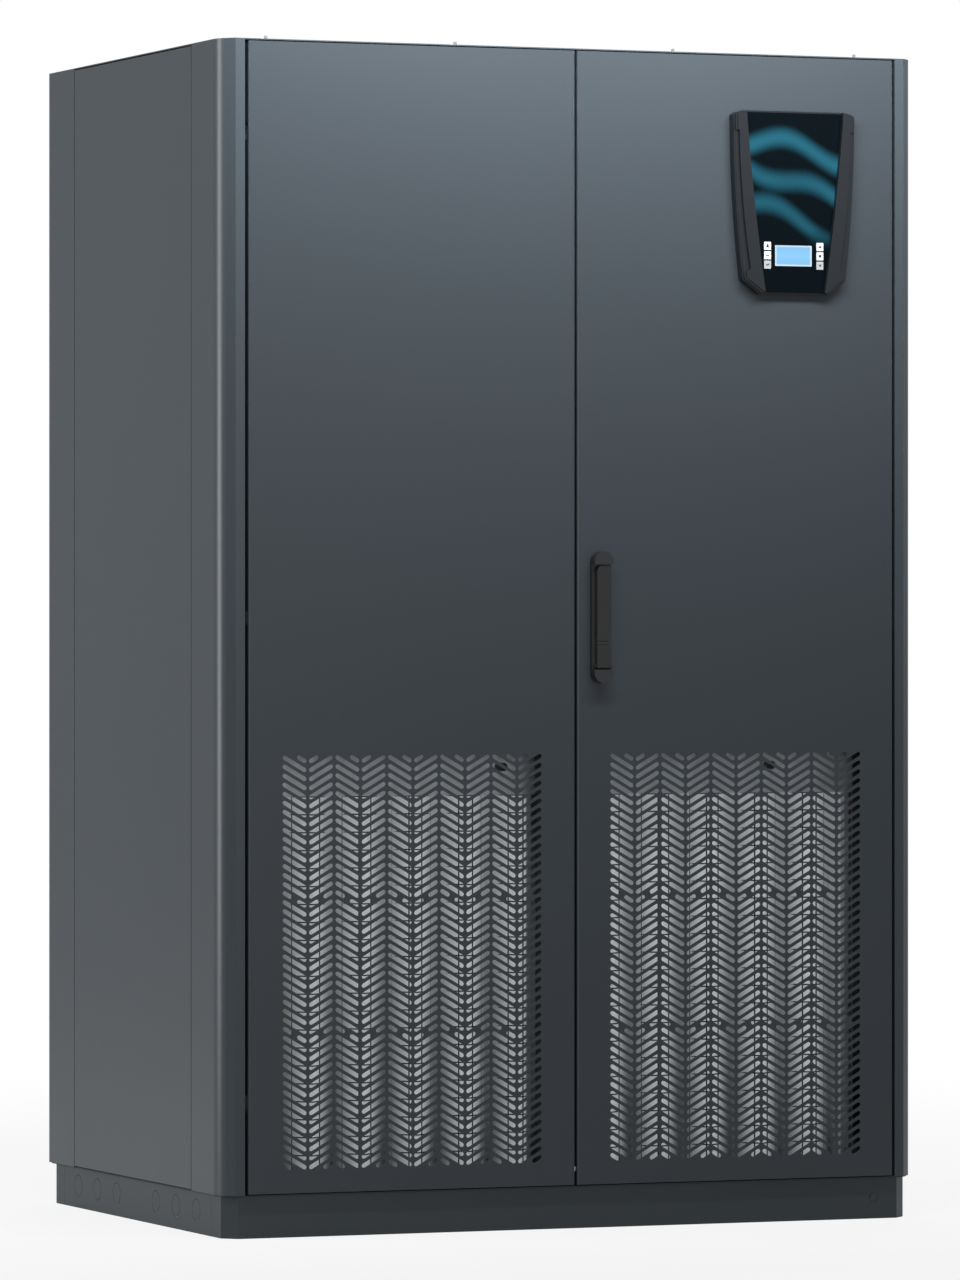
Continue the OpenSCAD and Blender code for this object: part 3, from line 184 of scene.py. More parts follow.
class ShaderTree:
    """The node tree of one material."""

    def __init__(self, name: str) -> None:
        """Makes the material and empties its tree.

        Args:
            name: The material's name.
        """
        self.material = bpy.data.materials.new(name)
        self.material.use_nodes = True
        self.tree = self.material.node_tree
        self.tree.nodes.clear()

    def node(self, kind: str, settings: Optional[Dict[str, Any]] = None,
             inputs: Optional[Dict[Union[int, str], Operand]] = None, output: Union[int, str] = 0,
             sort: Sort = Sort.NUMBER) -> Term:
        """Adds any node.

        Args:
            kind: The node's type.
            settings: Properties of the node, which are set first.
            inputs: Values or links of its sockets, by index or name.
            output: The output socket to return.
            sort: What that output carries.

        Returns:
            The chosen output as a term.
        """
        made = self.tree.nodes.new(kind)
        for key, value in (settings or {}).items():
            setattr(made, key, value)
        for key, value in (inputs or {}).items():
            self.feed(made.inputs[key], value)
        return Term(self, made.outputs[output], sort)

    def feed(self, socket: bpy.types.NodeSocket, value: Operand) -> None:
        """Links a term to a socket, or sets the socket's own value.

        Args:
            socket: The input socket.
            value: A term, a number, or a colour or vector.
        """
        if isinstance(value, Term):
            self.tree.links.new(value.socket, socket)
        elif socket.type == "RGBA":
            colour = (value,) * 3 if isinstance(value, (int, float)) else tuple(value)
            socket.default_value = (*colour[:3], 1.0)
        elif socket.type == "VECTOR" and isinstance(value, (int, float)):
            socket.default_value = (value,) * 3
        else:
            socket.default_value = value

    def place(self) -> Term:
        """The point on the surface in the cabinet's own frame, in metres."""
        return self.node("ShaderNodeTexCoord", {}, {}, "Object", Sort.VECTOR)

    def noise(self, where: Operand, scale: float, detail: float = 2.0, roughness: float = 0.5) -> Term:
        """Cloudy noise.

        Args:
            where: The point.
            scale: Cells per metre.
            detail: Number of finer layers.
            roughness: Strength of the finer layers.

        Returns:
            A number around 0.5.
        """
        return self.node("ShaderNodeTexNoise", {}, {"Vector": where, "Scale": scale, "Detail": detail,
                                                    "Roughness": roughness}, 0)

    def cells(self, where: Operand, scale: float) -> Term:
        """Random shade per cell of a broken-up pattern, as a colour."""
        return self.node("ShaderNodeTexVoronoi", {}, {"Vector": where, "Scale": scale}, 1, Sort.COLOUR)

    def blend(self, first: Operand, second: Operand, share: Operand) -> Term:
        """Mixes two colours.

        Args:
            first: Colour at share 0.
            second: Colour at share 1.
            share: The share of the second colour.

        Returns:
            The mixed colour.
        """
        return self.node("ShaderNodeMix", {"data_type": "RGBA"}, {0: share, 6: first, 7: second}, 2,
                         Sort.COLOUR)

    def shaded(self, colour: Operand, share: Operand) -> Term:
        """Darkens a colour.

        Args:
            colour: The full colour.
            share: How much of it is left: 0 for black, 1 for the colour itself.

        Returns:
            The darkened colour.
        """
        return self.blend(BLACK, colour, share)

    def close(self, channels: Dict[str, Operand], relief: Optional[Tuple[Term, float, float]]) -> None:
        """Adds the surface shader and the output.

        Args:
            channels: Values or terms of the shader's sockets, by name.
            relief: Height, strength and depth in metres of a bump, or None.
        """
        shader = self.tree.nodes.new("ShaderNodeBsdfPrincipled")
        for key, value in channels.items():
            self.feed(shader.inputs[key], value)
        if relief is not None:
            height, strength, depth = relief
            inputs = {"Height": height, "Strength": strength, "Distance": depth}
            bump = self.node("ShaderNodeBump", {}, inputs, "Normal", Sort.VECTOR)
            self.feed(shader.inputs["Normal"], bump)
        output = self.tree.nodes.new("ShaderNodeOutputMaterial")
        self.tree.links.new(shader.outputs[0], output.inputs[0])


@dataclass(frozen=True)
class Finish:
    """A surface finish: a colour as the screen shows it, and how the surface breaks it up."""

    name: str
    colour: RGB
    roughness: float = 0.5

    def channels(self, tree: ShaderTree) -> Dict[str, Operand]:
        """The shader's sockets.

        Args:
            tree: The tree to build in.

        Returns:
            Values or terms by socket name.
        """
        tint = tree.noise(tree.place(), 4.0) * 0.16 + 0.92
        colour = tree.shaded(linear(self.colour), tint)
        return {"Base Color": colour, "Roughness": self.roughness}

    def relief(self, tree: ShaderTree) -> Optional[Tuple[Term, float, float]]:
        """Height, strength and depth of the bump, or None."""
        return None

    def material(self) -> bpy.types.Material:
        """Builds the material of this finish."""
        tree = ShaderTree(self.name)
        tree.close(self.channels(tree), self.relief(tree))
        return tree.material


@dataclass(frozen=True)
class PowderCoat(Finish):
    """Baked paint with a fine grain, faint clouds and a few rubbed spots."""

    grain: float = 0.10
    rub: float = 0.35

    def channels(self, tree: ShaderTree) -> Dict[str, Operand]:
        """The paint's colour and gloss.

        Args:
            tree: The tree to build in.

        Returns:
            Values or terms by socket name.
        """
        place = tree.place()
        cloud = tree.noise(place, 1.7, 3.0)
        speck = tree.noise(place, 900.0, 1.0)
        shade = 1.0 - self.grain / 2 + speck * self.grain + (cloud - 0.5) * 0.10
        rubbed = tree.noise(place, 26.0, 6.0, 0.7).step(0.70, 0.78) * self.rub
        paint = tree.shaded(linear(self.colour), shade)
        worn = [min(1.0, c * 1.5 + 0.02) for c in linear(self.colour)]
        return {
            "Base Color": tree.blend(paint, worn, rubbed),
            "Roughness": self.roughness + (cloud - 0.5) * 0.10 - rubbed * 0.12,
            "Specular IOR Level": 0.35,
        }

    def relief(self, tree: ShaderTree) -> Optional[Tuple[Term, float, float]]:
        """The paint's orange-peel texture."""
        place = tree.place()
        return tree.noise(place, 420.0, 2.0) + tree.noise(place, 1500.0, 1.0) * 0.4, 0.12, 0.0004


@dataclass(frozen=True)
class SheetMetal(Finish):
    """Bare metal: zinc flowers on galvanised sheet, or a drawn and plated surface."""

    flowers: float = 70.0
    contrast: float = 0.25
    streak: Tuple[float, float, float] = (1.0, 1.0, 1.0)

    def channels(self, tree: ShaderTree) -> Dict[str, Operand]:
        """The metal's colour and polish.

        Args:
            tree: The tree to build in.

        Returns:
            Values or terms by socket name.
        """
        place = tree.place() * self.streak
        flower = tree.cells(place, self.flowers)
        grey = tree.node("ShaderNodeRGBToBW", {}, {0: flower})
        cloud = tree.noise(place, 9.0, 4.0, 0.6)
        shade = 1.0 - self.contrast / 2 + grey * self.contrast + (cloud - 0.5) * 0.2
        return {
            "Base Color": tree.shaded(linear(self.colour), shade),
            "Metallic": 0.85,
            "Roughness": self.roughness + (grey - 0.5) * 0.14 + (cloud - 0.5) * 0.1,
        }

    def relief(self, tree: ShaderTree) -> Optional[Tuple[Term, float, float]]:
        """Drawing marks and faint dents."""
        return tree.noise(tree.place() * self.streak, 260.0, 3.0), 0.08, 0.0003


@dataclass(frozen=True)
class Moulding(Finish):
    """Moulded plastic or rubber with a leather-fine grain."""

    grain: float = 1400.0
    depth: float = 0.00015
    sheen: float = 0.5

    def channels(self, tree: ShaderTree) -> Dict[str, Operand]:
        """The moulding's colour and gloss.

        Args:
            tree: The tree to build in.

        Returns:
            Values or terms by socket name.
        """
        place = tree.place()
        cloud = tree.noise(place, 18.0, 3.0)
        dust_and_valley_shade = tree.noise(place, 240.0, 4.0, 0.7).step(0.62, 0.8)
        paint = tree.shaded(linear(self.colour), cloud * 0.16 + 0.92)
        pale = [min(1.0, c + 0.03) for c in linear(self.colour)]
        return {
            "Base Color": tree.blend(paint, pale, dust_and_valley_shade * 0.35),
            "Roughness": self.roughness + (cloud - 0.5) * 0.12,
            "Specular IOR Level": self.sheen,
        }

    def relief(self, tree: ShaderTree) -> Optional[Tuple[Term, float, float]]:
        """The tool's grain."""
        return tree.noise(tree.place(), self.grain, 2.0), 0.15, self.depth


@dataclass(frozen=True)
class Foam(Finish):
    """Closed-cell foam with open pores."""

    def relief(self, tree: ShaderTree) -> Optional[Tuple[Term, float, float]]:
        """Pores of two sizes."""
        place = tree.place()
        pores = tree.node("ShaderNodeTexVoronoi", {}, {"Vector": place, "Scale": 260.0}, 0)
        return pores + tree.noise(place, 900.0, 2.0) * 0.4, 0.5, 0.0012


@dataclass(frozen=True)
class FinPack(Finish):
    """Thin upright fins seen from their edges."""

    pitch: float = 0.0021

    def channels(self, tree: ShaderTree) -> Dict[str, Operand]:
        """The fins' bright edges, with painted shade in the gaps between them.

        Args:
            tree: The tree to build in.

        Returns:
            Values or terms by socket name.
        """
        place = tree.place()
        comb = self._comb(place)
        bent = tree.noise(place, 30.0, 4.0, 0.7)
        return {
            # Painted shade: the gaps between the fins are near black.
            "Base Color": tree.blend((0.02, 0.021, 0.023), linear(self.colour), comb * 0.85 + bent * 0.15),
            "Metallic": 0.7,
            "Roughness": self.roughness + (bent - 0.5) * 0.2,
        }

    def _comb(self, place: Term) -> Term:
        """1 on a fin's edge, 0 in a gap."""
        across = (place.axis(0) / self.pitch).fraction() - 0.5
        return across.magnitude().step(0.18, 0.30)

    def relief(self, tree: ShaderTree) -> Optional[Tuple[Term, float, float]]:
        """The fins' depth."""
        return self._comb(tree.place()), 0.6, 0.001


@dataclass(frozen=True)
class Fleece(Finish):
    """Filter fleece: short matted fibres, greyer in patches, with painted shade in its pleat valleys and a
    painted glow.
    """

    front: float = 0.0
    depth: float = 0.04
    foot: float = 0.1
    height: float = 1.0
    # Amounts of painted shade in the pleat valleys: at the top, and added towards the bottom.
    valley_shade_top: float = 0.42
    valley_shade_added_low: float = 0.46
    painted_glow: float = 0.27

    def channels(self, tree: ShaderTree) -> Dict[str, Operand]:
        """The fleece's colour.

        Args:
            tree: The tree to build in.

        Returns:
            Values or terms by socket name.
        """
        place = tree.place()
        fibre = tree.noise(place * (1.0, 1.0, 0.3), 900.0, 4.0, 0.7)
        patch = tree.noise(place, 7.0, 3.0)
        inward = ((place.axis(1) - self.front) / self.depth).step(0.0, 0.9)
        downward = 1.0 - (place.axis(2) - self.foot) / self.height
        # Painted shade: the fleece darkens towards the pleats' rear folds, and more so lower down.
        dust_and_valley_shade = inward * (self.valley_shade_top + downward * self.valley_shade_added_low)
        shade = 0.95 + (fibre - 0.5) * 0.35 + (patch - 0.5) * 0.18 - dust_and_valley_shade
        fleece = tree.shaded(linear(self.colour), shade)
        # Painted glow: the fleece emits its own colour so that it looks brighter than the lamps light it.
        return {"Base Color": fleece, "Emission Color": fleece, "Emission Strength": self.painted_glow,
                "Roughness": self.roughness, "Specular IOR Level": 0.1}

    def relief(self, tree: ShaderTree) -> Optional[Tuple[Term, float, float]]:
        """The fibres' relief."""
        return tree.noise(tree.place(), 700.0, 5.0, 0.7), 0.4, 0.0006


@dataclass(frozen=True)
class GlowGlass(Finish):
    """Black control glass with soft drifts of light behind it."""

    middle: Point = (0.0, 0.0, 0.0)
    height: float = 0.3
    glow: RGB = (46.0, 122.0, 146.0)
    strength: float = 0.85
    swell_rate: float = 9.0
    sharpness: float = 12.0

    def channels(self, tree: ShaderTree) -> Dict[str, Operand]:
        """The glass's depth and glow.

        Args:
            tree: The tree to build in.

        Returns:
            Values or terms by socket name.
        """
        place = tree.place()
        across = (place.axis(0) - self.middle[0]) / self.height
        upward = (place.axis(2) - self.middle[2]) / self.height
        high = self._drift(across, upward, (0.30, -0.14, 0.055, 2.0))
        middle = self._drift(across, upward, (0.11, -0.42, 0.050, 0.2))
        low = self._drift(across, upward, (-0.10, -0.30, 0.055, 2.6))
        shade = high + middle * 0.8 + low * 0.75
        shade = shade * (upward + 0.27).step(0.0, 0.16) * (0.5 - upward).step(0.0, 0.10)
        veil = tree.noise(place, 9.0, 2.0) * 0.5 + 0.72
        return {
            "Base Color": linear(self.colour),
            "Emission Color": tree.blend(linear(self.colour), linear(self.glow), shade * veil),
            "Emission Strength": self.strength,
            "Roughness": 0.08 + tree.noise(place, 60.0, 3.0) * 0.05,
            "Specular IOR Level": 0.06,
        }

    def _drift(self, across: Term, upward: Term, course: Tuple[float, float, float, float]) -> Term:
        """One soft drift of light across the glass.

        Args:
            across: Place to the right of the glass's middle, in glass heights.
            upward: Place above its middle, in glass heights.
            course: Its height at the middle, its slope, the height of its swell and the swell's start.

        Returns:
            1 in the drift's core, fading to 0 beside it.
        """
        level, slope, swell, start = course
        crest = (across * self.swell_rate + start).wave() * swell + across * slope + level
        return (1.0 - ((upward - crest) * self.sharpness).magnitude()).step(0.0, 1.0)


@dataclass(frozen=True)
class Crystal(Finish):
    """A lit liquid-crystal window with a paler rim."""

    low: Point = (0.0, 0.0, 0.0)
    high: Point = (0.0, 0.0, 0.0)
    rim: RGB = (205, 228, 240)
    side_rim: float = 0.07
    end_rim: float = 0.12
    backlight: float = 0.62
    unlit: float = 0.25

    def channels(self, tree: ShaderTree) -> Dict[str, Operand]:
        """The window's backlight, which fades from its middle.

        Args:
            tree: The tree to build in.

        Returns:
            Values or terms by socket name.
        """
        place = tree.place()
        across = self._share(place, 0)
        upward = self._share(place, 2)
        from_side = 0.5 - (across - 0.5).magnitude()
        from_end = 0.5 - (upward - 0.5).magnitude()
        edge = from_side.step(0.0, self.side_rim) * from_end.step(0.0, self.end_rim)
        cells = tree.noise(place, 1800.0, 1.0) * 0.08 + 0.96
        body = tree.shaded(linear(self.colour), cells - (upward - 0.5).magnitude() * 0.25)
        tint = tree.blend(linear(self.rim), body, edge)
        dark = tree.shaded(tint, self.unlit)
        return {"Base Color": dark, "Emission Color": tint, "Emission Strength": self.backlight,
                "Roughness": 0.3}

    def _share(self, place: Term, index: int) -> Term:
        """How far a point lies across the window along one axis, from 0 to 1."""
        return (place.axis(index) - self.low[index]) / (self.high[index] - self.low[index])


class Palette:
    """Every finish of the cabinet, each built once."""

    def __init__(self) -> None:
        """Starts with no material built."""
        self._built: Dict[str, bpy.types.Material] = {}

    def material(self, finish: Finish) -> bpy.types.Material:
        """The material of a finish, built at its first use."""
        if finish.name not in self._built:
            self._built[finish.name] = finish.material()
        return self._built[finish.name]


CABINET_PAINT = PowderCoat("cabinet_paint", (55, 62, 67), 0.32)
DOOR_PAINT = PowderCoat("door_paint", (50, 56, 61), 0.36)
PLINTH_PAINT = PowderCoat("plinth_paint", (48, 55, 59), 0.42)
TRAY_PAINT = PowderCoat("tray_paint", (40, 43, 47), 0.6)
INNER_FRAME_PAINT = PowderCoat("inner_frame_paint", (24, 25, 27), 0.55)
GALVANISED = SheetMetal("galvanised_sheet", (196, 200, 203), 0.45, 60.0, 0.28)
BOX_SHEET = SheetMetal("box_sheet", (118, 122, 125), 0.5, 60.0, 0.25)
COIL_CASING = SheetMetal("coil_casing", (168, 172, 175), 0.4, 45.0, 0.3)
ZINC_PLATE = SheetMetal("zinc_plate", (188, 191, 194), 0.32, 500.0, 0.12)
BRIGHT_TONGUE = SheetMetal("bright_tongue", (225, 227, 230), 0.25, 500.0, 0.08)
DRAWN_ROD = SheetMetal("drawn_rod", (190, 193, 196), 0.3, 300.0, 0.15, (1.0, 1.0, 0.05))
COPPER = SheetMetal("copper_tube", (190, 112, 78), 0.35, 90.0, 0.3)
VALVE_BRASS = SheetMetal("valve_brass", (178, 146, 84), 0.38, 150.0, 0.2)
MOTOR_CASTING = Moulding("motor_casting", (62, 65, 68), 0.55, 500.0, 0.0004)
WHEEL_PLASTIC = Moulding("wheel_plastic", (48, 51, 55), 0.45)
SEAL_RUBBER = Moulding("seal_rubber", (22, 22, 23), 0.8, 500.0, 0.0003, 0.2)
GUIDE_PLASTIC = Moulding("guide_plastic", (34, 35, 37), 0.5)
HANDLE_PLASTIC = Moulding("handle_plastic", (38, 39, 41), 0.28, 1800.0, 0.00006)
LEVER_PLASTIC = Moulding("lever_plastic", (30, 30, 31), 0.34, 1800.0, 0.00005)
CHEEK_PLASTIC = Moulding("cheek_plastic", (23, 26, 29), 0.34, 1500.0, 0.0001)
BUTTON_PLASTIC = Moulding("button_plastic", (186, 190, 194), 0.4, 1800.0, 0.00005)
WORN_BUTTON_PLASTIC = Moulding("worn_button_plastic", (146, 150, 155), 0.45, 1800.0, 0.00005)
ICON_INK = Moulding("icon_ink", (40, 44, 50), 0.6)
KNOB_PLASTIC = Moulding("knob_plastic", (172, 38, 30), 0.35)
GRILLE_WIRE = Moulding("grille_wire", (16, 16, 17), 0.5, 900.0, 0.0001)
INSULATION = Foam("insulation_foam", (92, 96, 99), 0.95)
LINING = Foam("lining_foam", (72, 75, 78), 0.95)
FINS = FinPack("coil_fins", (200, 204, 206), 0.4)


class MeshMaker:
    """Collects faces of one new piece and turns them into an object."""

    def __init__(self, name: str) -> None:
        """Starts an empty mesh.

        Args:
            name: The piece's name.
        """
        self.name = name
        self.bm = bmesh.new()

    def wire(self, points: Sequence[Point], radius: float, sides: int = 6) -> None:
        """Adds a round wire along a line of points.

        Args:
            points: The wire's centreline.
            radius: The wire's radius in metres.
            sides: Number of faces round it.
        """
        rings: List[List[bmesh.types.BMVert]] = []
        line = [Vector(p) for p in points]
        for i, centre in enumerate(line):
            ahead = (line[min(i + 1, len(line) - 1)] - line[max(i - 1, 0)]).normalized()
            side = ahead.cross(Vector((0, 0, 1)) if abs(ahead.z) < 0.9 else Vector((1, 0, 0))).normalized()
            up = side.cross(ahead)
            rings.append([
                self.bm.verts.new(centre + radius * (math.cos(a) * side + math.sin(a) * up))
                for a in (2 * math.pi * k / sides for k in range(sides))
            ])
        for first, second in zip(rings, rings[1:]):
            for k in range(sides):
                self.bm.faces.new((first[k], first[(k + 1) % sides], second[(k + 1) % sides], second[k]))
        self.bm.faces.new(rings[0][::-1])
        self.bm.faces.new(rings[-1])

    def plate(self, outline: Sequence[Tuple[float, float]], front: float, back: float) -> None:
        """Adds an upright plate of an X-Z outline between two depths.

        Args:
            outline: Corners in order, as (x, z).
            front: Y of its front face.
            back: Y of its rear face.
        """
        near = [self.bm.verts.new((x, front, z)) for x, z in outline]
        far = [self.bm.verts.new((x, back, z)) for x, z in outline]
        self.bm.faces.new(near)
        self.bm.faces.new(far[::-1])
        count = len(outline)
        for k in range(count):
            self.bm.faces.new((near[(k + 1) % count], near[k], far[k], far[(k + 1) % count]))

    def finish(self, palette: Palette, finish: Finish, body: str, slot: str) -> bpy.types.Object:
        """Makes the object, dresses it and hangs it on a body.

        Args:
            palette: Where its material comes from.
            finish: Its finish.
            body: The body that it moves with.
            slot: Not used.

        Returns:
            The new object.
        """
        bmesh.ops.recalc_face_normals(self.bm, faces=self.bm.faces)
        mesh = bpy.data.meshes.new(self.name)
        self.bm.to_mesh(mesh)
        self.bm.free()
        piece = bpy.data.objects.new(self.name, mesh)
        bpy.context.scene.collection.objects.link(piece)
        mesh.materials.append(palette.material(finish))
        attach(piece, body)
        LOG.info("piece %s rides on %s", self.name, body)
        return piece


@dataclass
class Assembly:
    """A group of CAD nodes with one purpose, and the pieces added to it."""

    palette: Palette

    def dress(self, finishes: Dict[str, Finish]) -> None:
        """Gives CAD nodes their finishes.

        Args:
            finishes: Finish by node name.
        """
        for name, finish in finishes.items():
            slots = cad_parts[name].data.materials
            material = self.palette.material(finish)
            if len(slots) == 0:
                slots.append(material)
            for i in range(len(slots)):
                slots[i] = material
            LOG.info("node %s is dressed in %s", name, finish.name)

    def build(self) -> None:
        """Dresses the nodes and adds the pieces."""
        raise NotImplementedError


@dataclass
class Shell(Assembly):
    """Plinth, base, posts, panels and roof."""

    def build(self) -> None:
        """Paints the sheet-metal shell and its panel screws, and leaves the roof bolts bright."""
        painted = ["left_front_post", "right_front_post", "left_rear_post", "right_rear_post", "roof_panel",
                   "left_side_panel", "right_side_panel", "rear_panel"]
        plinth = ["plinth_front", "plinth_rear", "left_plinth_side", "right_plinth_side"]
        self.dress({name: CABINET_PAINT for name in painted})
        self.dress({name: PLINTH_PAINT for name in plinth})
        self.dress({"base_tray": TRAY_PAINT, "front_rails": INNER_FRAME_PAINT, "roof_bolts": ZINC_PLATE,
                    "panel_screws": CABINET_PAINT, "side_insulation": INSULATION,
                    "door_catch": BRIGHT_TONGUE, "hinge_brackets": ZINC_PLATE, "rod_keepers": ZINC_PLATE})


@dataclass
class Doors(Assembly):
    """Both doors with their linings, seals and hinge sleeves."""

    def build(self) -> None:
        """Dresses both doors."""
        for side in Side:
            name = side.name.lower()
            self.dress({f"{name}_door_skin": DOOR_PAINT, f"{name}_door_lining": LINING,
                        f"{name}_door_seal": SEAL_RUBBER, f"{name}_hinge_sleeves": ZINC_PLATE})


@dataclass
class Latch(Assembly):
    """Swing handle, key barrel and lock rods."""

    def build(self) -> None:
        """Dresses the handle and the rods."""
        self.dress({"handle_plate": HANDLE_PLASTIC, "handle_lever": LEVER_PLASTIC, "lock_flap": LEVER_PLASTIC,
                    "handle_spindle": ZINC_PLATE, "lock_barrel": BRIGHT_TONGUE, "upper_rod": DRAWN_ROD,
                    "lower_rod": DRAWN_ROD, "rod_guides": GUIDE_PLASTIC})


class Icon(Enum):
    """Drawings on the buttons, as outlines in shares of the button's width."""

    BELL = ((-0.24, -0.18), (0.24, -0.18), (0.15, -0.05), (0.12, 0.16), (0.0, 0.25), (-0.12, 0.16),
            (-0.15, -0.05))
    RETURN = ((-0.26, -0.02), (-0.06, -0.2), (-0.06, -0.08), (0.24, -0.08), (0.24, 0.2), (0.14, 0.2),
              (0.14, 0.04), (-0.06, 0.04), (-0.06, 0.16))
    BAR = ((-0.22, -0.06), (0.22, -0.06), (0.22, 0.06), (-0.22, 0.06))
    UP = ((-0.24, -0.14), (0.24, -0.14), (0.0, 0.2))
    DOWN = ((-0.24, 0.14), (0.0, -0.2), (0.24, 0.14))
    SQUARE = ((-0.17, -0.17), (0.17, -0.17), (0.17, 0.17), (-0.17, 0.17))


@dataclass
class Controller(Assembly):
    """Moulded body, black glass, display and six buttons."""

    ink: float = 0.00025
    layout: Dict[str, Icon] = field(default_factory=lambda: {
        "left_top": Icon.BELL, "left_middle": Icon.BAR, "left_bottom": Icon.RETURN,
        "right_top": Icon.UP, "right_middle": Icon.SQUARE, "right_bottom": Icon.DOWN})

    def build(self) -> None:
        """Dresses the controller and draws the icons."""
        low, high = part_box("controller_glass")
        middle = tuple((low + high) / 2)
        self.dress({
            "controller_body": CHEEK_PLASTIC,
            "controller_glass": GlowGlass("control_glass", (3, 7, 10), 0.1, middle, high.z - low.z),
        })
        low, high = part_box("controller_display")
        crystal = Crystal("display_crystal", (132, 190, 232), 0.25, tuple(low), tuple(high))
        self.dress({"controller_display": crystal})
        for place, icon in self.layout.items():
            worn = place.endswith("bottom")
            self.dress({f"button_{place}": WORN_BUTTON_PLASTIC if worn else BUTTON_PLASTIC})
            self._icon(place, icon)

    def _icon(self, place: str, icon: Icon) -> None:
        """Draws one button's icon.

        Args:
            place: The button's place, such as left_top.
            icon: The drawing.
        """
        low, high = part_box(f"button_{place}")
        width = high.x - low.x
        x, z = (low.x + high.x) / 2, (low.z + high.z) / 2
        maker = MeshMaker(f"icon_{place}")
        maker.plate([(x + a * width, z + b * width) for a, b in icon.value], low.y - self.ink, low.y)
        maker.finish(self.palette, ICON_INK, f"key_{place}", "cheek")


@dataclass
class Filters(Assembly):
    """Pleated filters with their frames, rails and wire grid."""

    pitch: float = 0.030
    radius: float = 0.0012
    pleat: float = 0.094
    depth: float = 0.040
    clearance: float = 0.0016
    row_margin: float = 0.004
    end_margin: float = 0.003
    side_margin: float = 0.012
    column_share: float = 0.76
    starts: Dict[Side, float] = field(default_factory=lambda: {Side.LEFT: 0.0397, Side.RIGHT: 0.0857})

    def build(self) -> None:
        """Dresses the filters and adds the wires."""
        low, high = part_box("filter_media")
        fleece = Fleece("filter_fleece", (240, 243, 245), 0.95, low.y, self.depth, low.z, high.z - low.z)
        self.dress({"filter_frames": GALVANISED, "filter_media": fleece, "filter_rails": GALVANISED})
        for side in Side:
            self._wires(side)

    def _front(self, share: float) -> float:
        """Depth behind the pleats' front folds at a place given in pleats from a rear fold."""
        return self.depth * abs(2 * (share % 1.0) - 1.0)

    def _wires(self, side: Side) -> None:
        """Adds one filter's wire grid, just in front of the fleece.

        Args:
            side: Which filter.
        """
        low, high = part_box("filter_media")
        outer = high.x
        inner = self._inner_edge()
        x0, x1 = (-outer, -inner) if side is Side.LEFT else (inner, outer)
        start = x0 + self.starts[side]
        maker = MeshMaker(f"filter_wires_{side.name.lower()}")
        folds = [start + k * self.pleat / 2 for k in range(-4, 16)]
        xs = sorted({x0, x1, *[f for f in folds if x0 < f < x1]})
        line = [(x, low.y + self._front((x - start) / self.pleat) - self.clearance) for x in xs]
        rows = int((high.z - low.z) / self.pitch)
        for k in range(1, rows + 1):
            z = low.z + k * self.pitch
            if z < high.z - self.row_margin:
                maker.wire([(x, y, z) for x, y in line], self.radius)
        x = x0 + self.side_margin
        while x < x1 - self.row_margin:
            y = low.y + self._front((x - start) / self.pleat) - self.clearance
            maker.wire([(x, y, low.z + self.end_margin), (x, y, high.z - self.end_margin)], self.radius)
            x += self.pitch * self.column_share
        maker.finish(self.palette, GRILLE_WIRE, "cabinet", "frame")

    def _inner_edge(self) -> float:
        """X of the fleece's edge nearest to the cabinet's middle."""
        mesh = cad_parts["filter_media"].data
        return min(abs(v.co.x) for v in mesh.vertices)


@dataclass
class AirPath(Assembly):
    """Fans, coil, pipes, tray and electrical box."""

    def build(self) -> None:
        """Dresses everything behind the doors."""
        self.dress({
            "fan_deck": GALVANISED, "fan_inlets": GALVANISED, "left_fan_wheel": WHEEL_PLASTIC,
            "right_fan_wheel": WHEEL_PLASTIC, "fan_motors": MOTOR_CASTING, "coil_fins": FINS,
            "coil_frame": COIL_CASING, "coil_pipes": COPPER, "control_valve": VALVE_BRASS,
            "drip_tray": GALVANISED, "electrical_box": BOX_SHEET, "isolator_knob": KNOB_PLASTIC,
        })


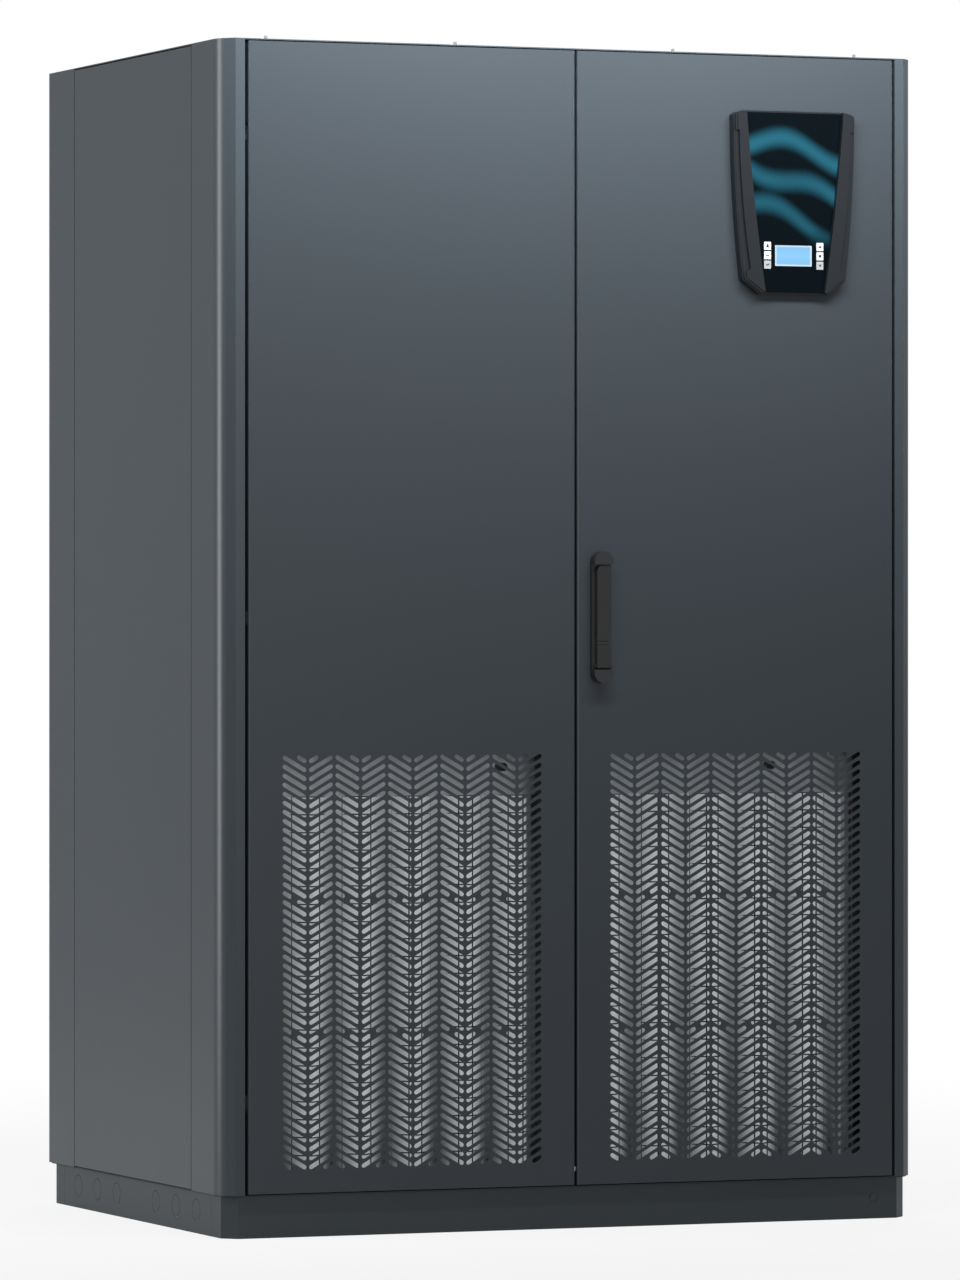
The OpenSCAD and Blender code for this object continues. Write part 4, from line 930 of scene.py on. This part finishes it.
@dataclass
class Studio:
    """Pale floor, white surroundings, soft lights and the camera."""

    eye: Point = (-4.932, -12.083, 1.006)
    yaw: float = math.atan2(0.378, 0.926)
    lens: float = 211.1
    shift: float = -0.00625
    sky: RGB = (0.92, 0.96, 1.0)
    ambient: float = 0.20
    mirrored_white: float = 0.30
    floor_size: float = 60.0
    floor_grey: float = 0.7
    floor_white: float = 0.86
    white_from: float = 1.2
    white_to: float = 4.5

    def build(self) -> None:
        """Sets the stage."""
        self._world()
        self._floor()
        self._lamp("left_bank", (-4.7, 1.0, 1.8), (-0.62, 0.0, 1.0), (1.4, 3.4), 138.0)
        self._lamp("top_bank", (0.0, -1.23, 2.46), (0.0, -0.43, 2.46), (1.9, 0.35), 84.0, False)
        self._lamp("front_bank", (-0.6, -5.5, 0.9), (0.0, 0.0, 0.6), (2.4, 1.6), 42.0)
        self._lamp("rear_bank", (2.2, 4.6, 4.2), (0.0, 0.3, 1.2), (4.0, 4.0), 170.0, False)
        self._camera()
        bpy.context.scene.view_settings.view_transform = "Standard"

    def _world(self) -> None:
        """White where it is seen, grey where it only lights."""
        world = bpy.data.worlds.new("studio")
        bpy.context.scene.world = world
        world.use_nodes = True
        nodes, links = world.node_tree.nodes, world.node_tree.links
        nodes.clear()
        path = nodes.new("ShaderNodeLightPath")
        share = path.outputs["Is Glossy Ray"]
        steps = (("MULTIPLY", self.mirrored_white), ("MAXIMUM", path.outputs["Is Camera Ray"]),
                 ("MAXIMUM", path.outputs["Is Transmission Ray"]))
        for operation, other in steps:
            step = nodes.new("ShaderNodeMath")
            step.operation = operation
            links.new(share, step.inputs[0])
            if isinstance(other, float):
                step.inputs[1].default_value = other
            else:
                links.new(other, step.inputs[1])
            share = step.outputs[0]
        mix = nodes.new("ShaderNodeMixShader")
        links.new(share, mix.inputs[0])
        for k, (colour, strength) in enumerate(((self.sky, self.ambient), (WHITE, 1.0))):
            background = nodes.new("ShaderNodeBackground")
            background.inputs[0].default_value = (*colour, 1.0)
            background.inputs[1].default_value = strength
            links.new(background.outputs[0], mix.inputs[k + 1])
        output = nodes.new("ShaderNodeOutputWorld")
        links.new(mix.outputs[0], output.inputs[0])

    def _floor(self) -> None:
        """A wide floor that is nearly white to the eye and keeps the cabinet's shadow."""
        mesh = bpy.data.meshes.new("floor")
        size = self.floor_size
        corners = [(-size, -size, 0), (size, -size, 0), (size, size, 0), (-size, size, 0)]
        mesh.from_pydata(corners, [], [(0, 1, 2, 3)])
        floor = bpy.data.objects.new("floor", mesh)
        bpy.context.scene.collection.objects.link(floor)
        tree = ShaderTree("floor_paint")
        seen = tree.node("ShaderNodeLightPath", {}, {}, "Is Camera Ray")
        mirrored = tree.node("ShaderNodeLightPath", {}, {}, "Is Glossy Ray")
        through = tree.node("ShaderNodeLightPath", {}, {}, "Is Transmission Ray")
        away = tree.node("ShaderNodeVectorMath", {"operation": "LENGTH"}, {0: tree.place()}, 1)
        faded = away.step(self.white_from, self.white_to)
        white_share = faded * (1.0 - self.floor_white) + self.floor_white
        nodes, links = tree.tree.nodes, tree.tree.links
        diffuse = nodes.new("ShaderNodeBsdfDiffuse")
        diffuse.inputs[0].default_value = (*(self.floor_grey,) * 3, 1.0)
        white = nodes.new("ShaderNodeEmission")
        white.inputs[0].default_value = (*WHITE, 1.0)
        mix = nodes.new("ShaderNodeMixShader")
        tree.feed(mix.inputs[0], (seen + through) * white_share + mirrored * self.mirrored_white)
        output = nodes.new("ShaderNodeOutputMaterial")
        links.new(diffuse.outputs[0], mix.inputs[1])
        links.new(white.outputs[0], mix.inputs[2])
        links.new(mix.outputs[0], output.inputs[0])
        mesh.materials.append(tree.material)

    def _lamp(self, name: str, where: Point, target: Point, size: Tuple[float, float], power: float,
              mirrored: bool = True) -> None:
        """Adds a soft rectangular lamp.

        Args:
            name: The lamp's name.
            where: Its place in metres.
            target: The point that it faces.
            size: Its width and height in metres.
            power: Its power in watts.
            mirrored: False if glossy surfaces don't mirror it.
        """
        data = bpy.data.lights.new(name, "AREA")
        data.shape = "RECTANGLE"
        data.size, data.size_y = size
        data.energy = power
        lamp = bpy.data.objects.new(name, data)
        lamp.location = where
        lamp.visible_camera = False
        lamp.visible_glossy = mirrored
        lamp.rotation_euler = (Vector(target) - Vector(where)).to_track_quat("-Z", "Y").to_euler()
        bpy.context.scene.collection.objects.link(lamp)

    def _camera(self) -> None:
        """Adds the level camera."""
        data = bpy.data.cameras.new("camera")
        data.lens = self.lens
        data.sensor_width = 36.0
        data.shift_y = self.shift
        data.clip_end = 200.0
        camera = bpy.data.objects.new("camera", data)
        camera.location = self.eye
        camera.rotation_euler = (math.pi / 2, 0.0, -self.yaw)
        bpy.context.scene.collection.objects.link(camera)
        bpy.context.scene.camera = camera


def main() -> None:
    logging.basicConfig(level=logging.INFO)
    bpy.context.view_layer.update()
    palette = Palette()
    for assembly in (Shell, Doors, Latch, Controller, Filters, AirPath):
        LOG.info("building %s", assembly.__name__)
        assembly(palette).build()
    Studio().build()


if __name__ == "__main__":
    main()
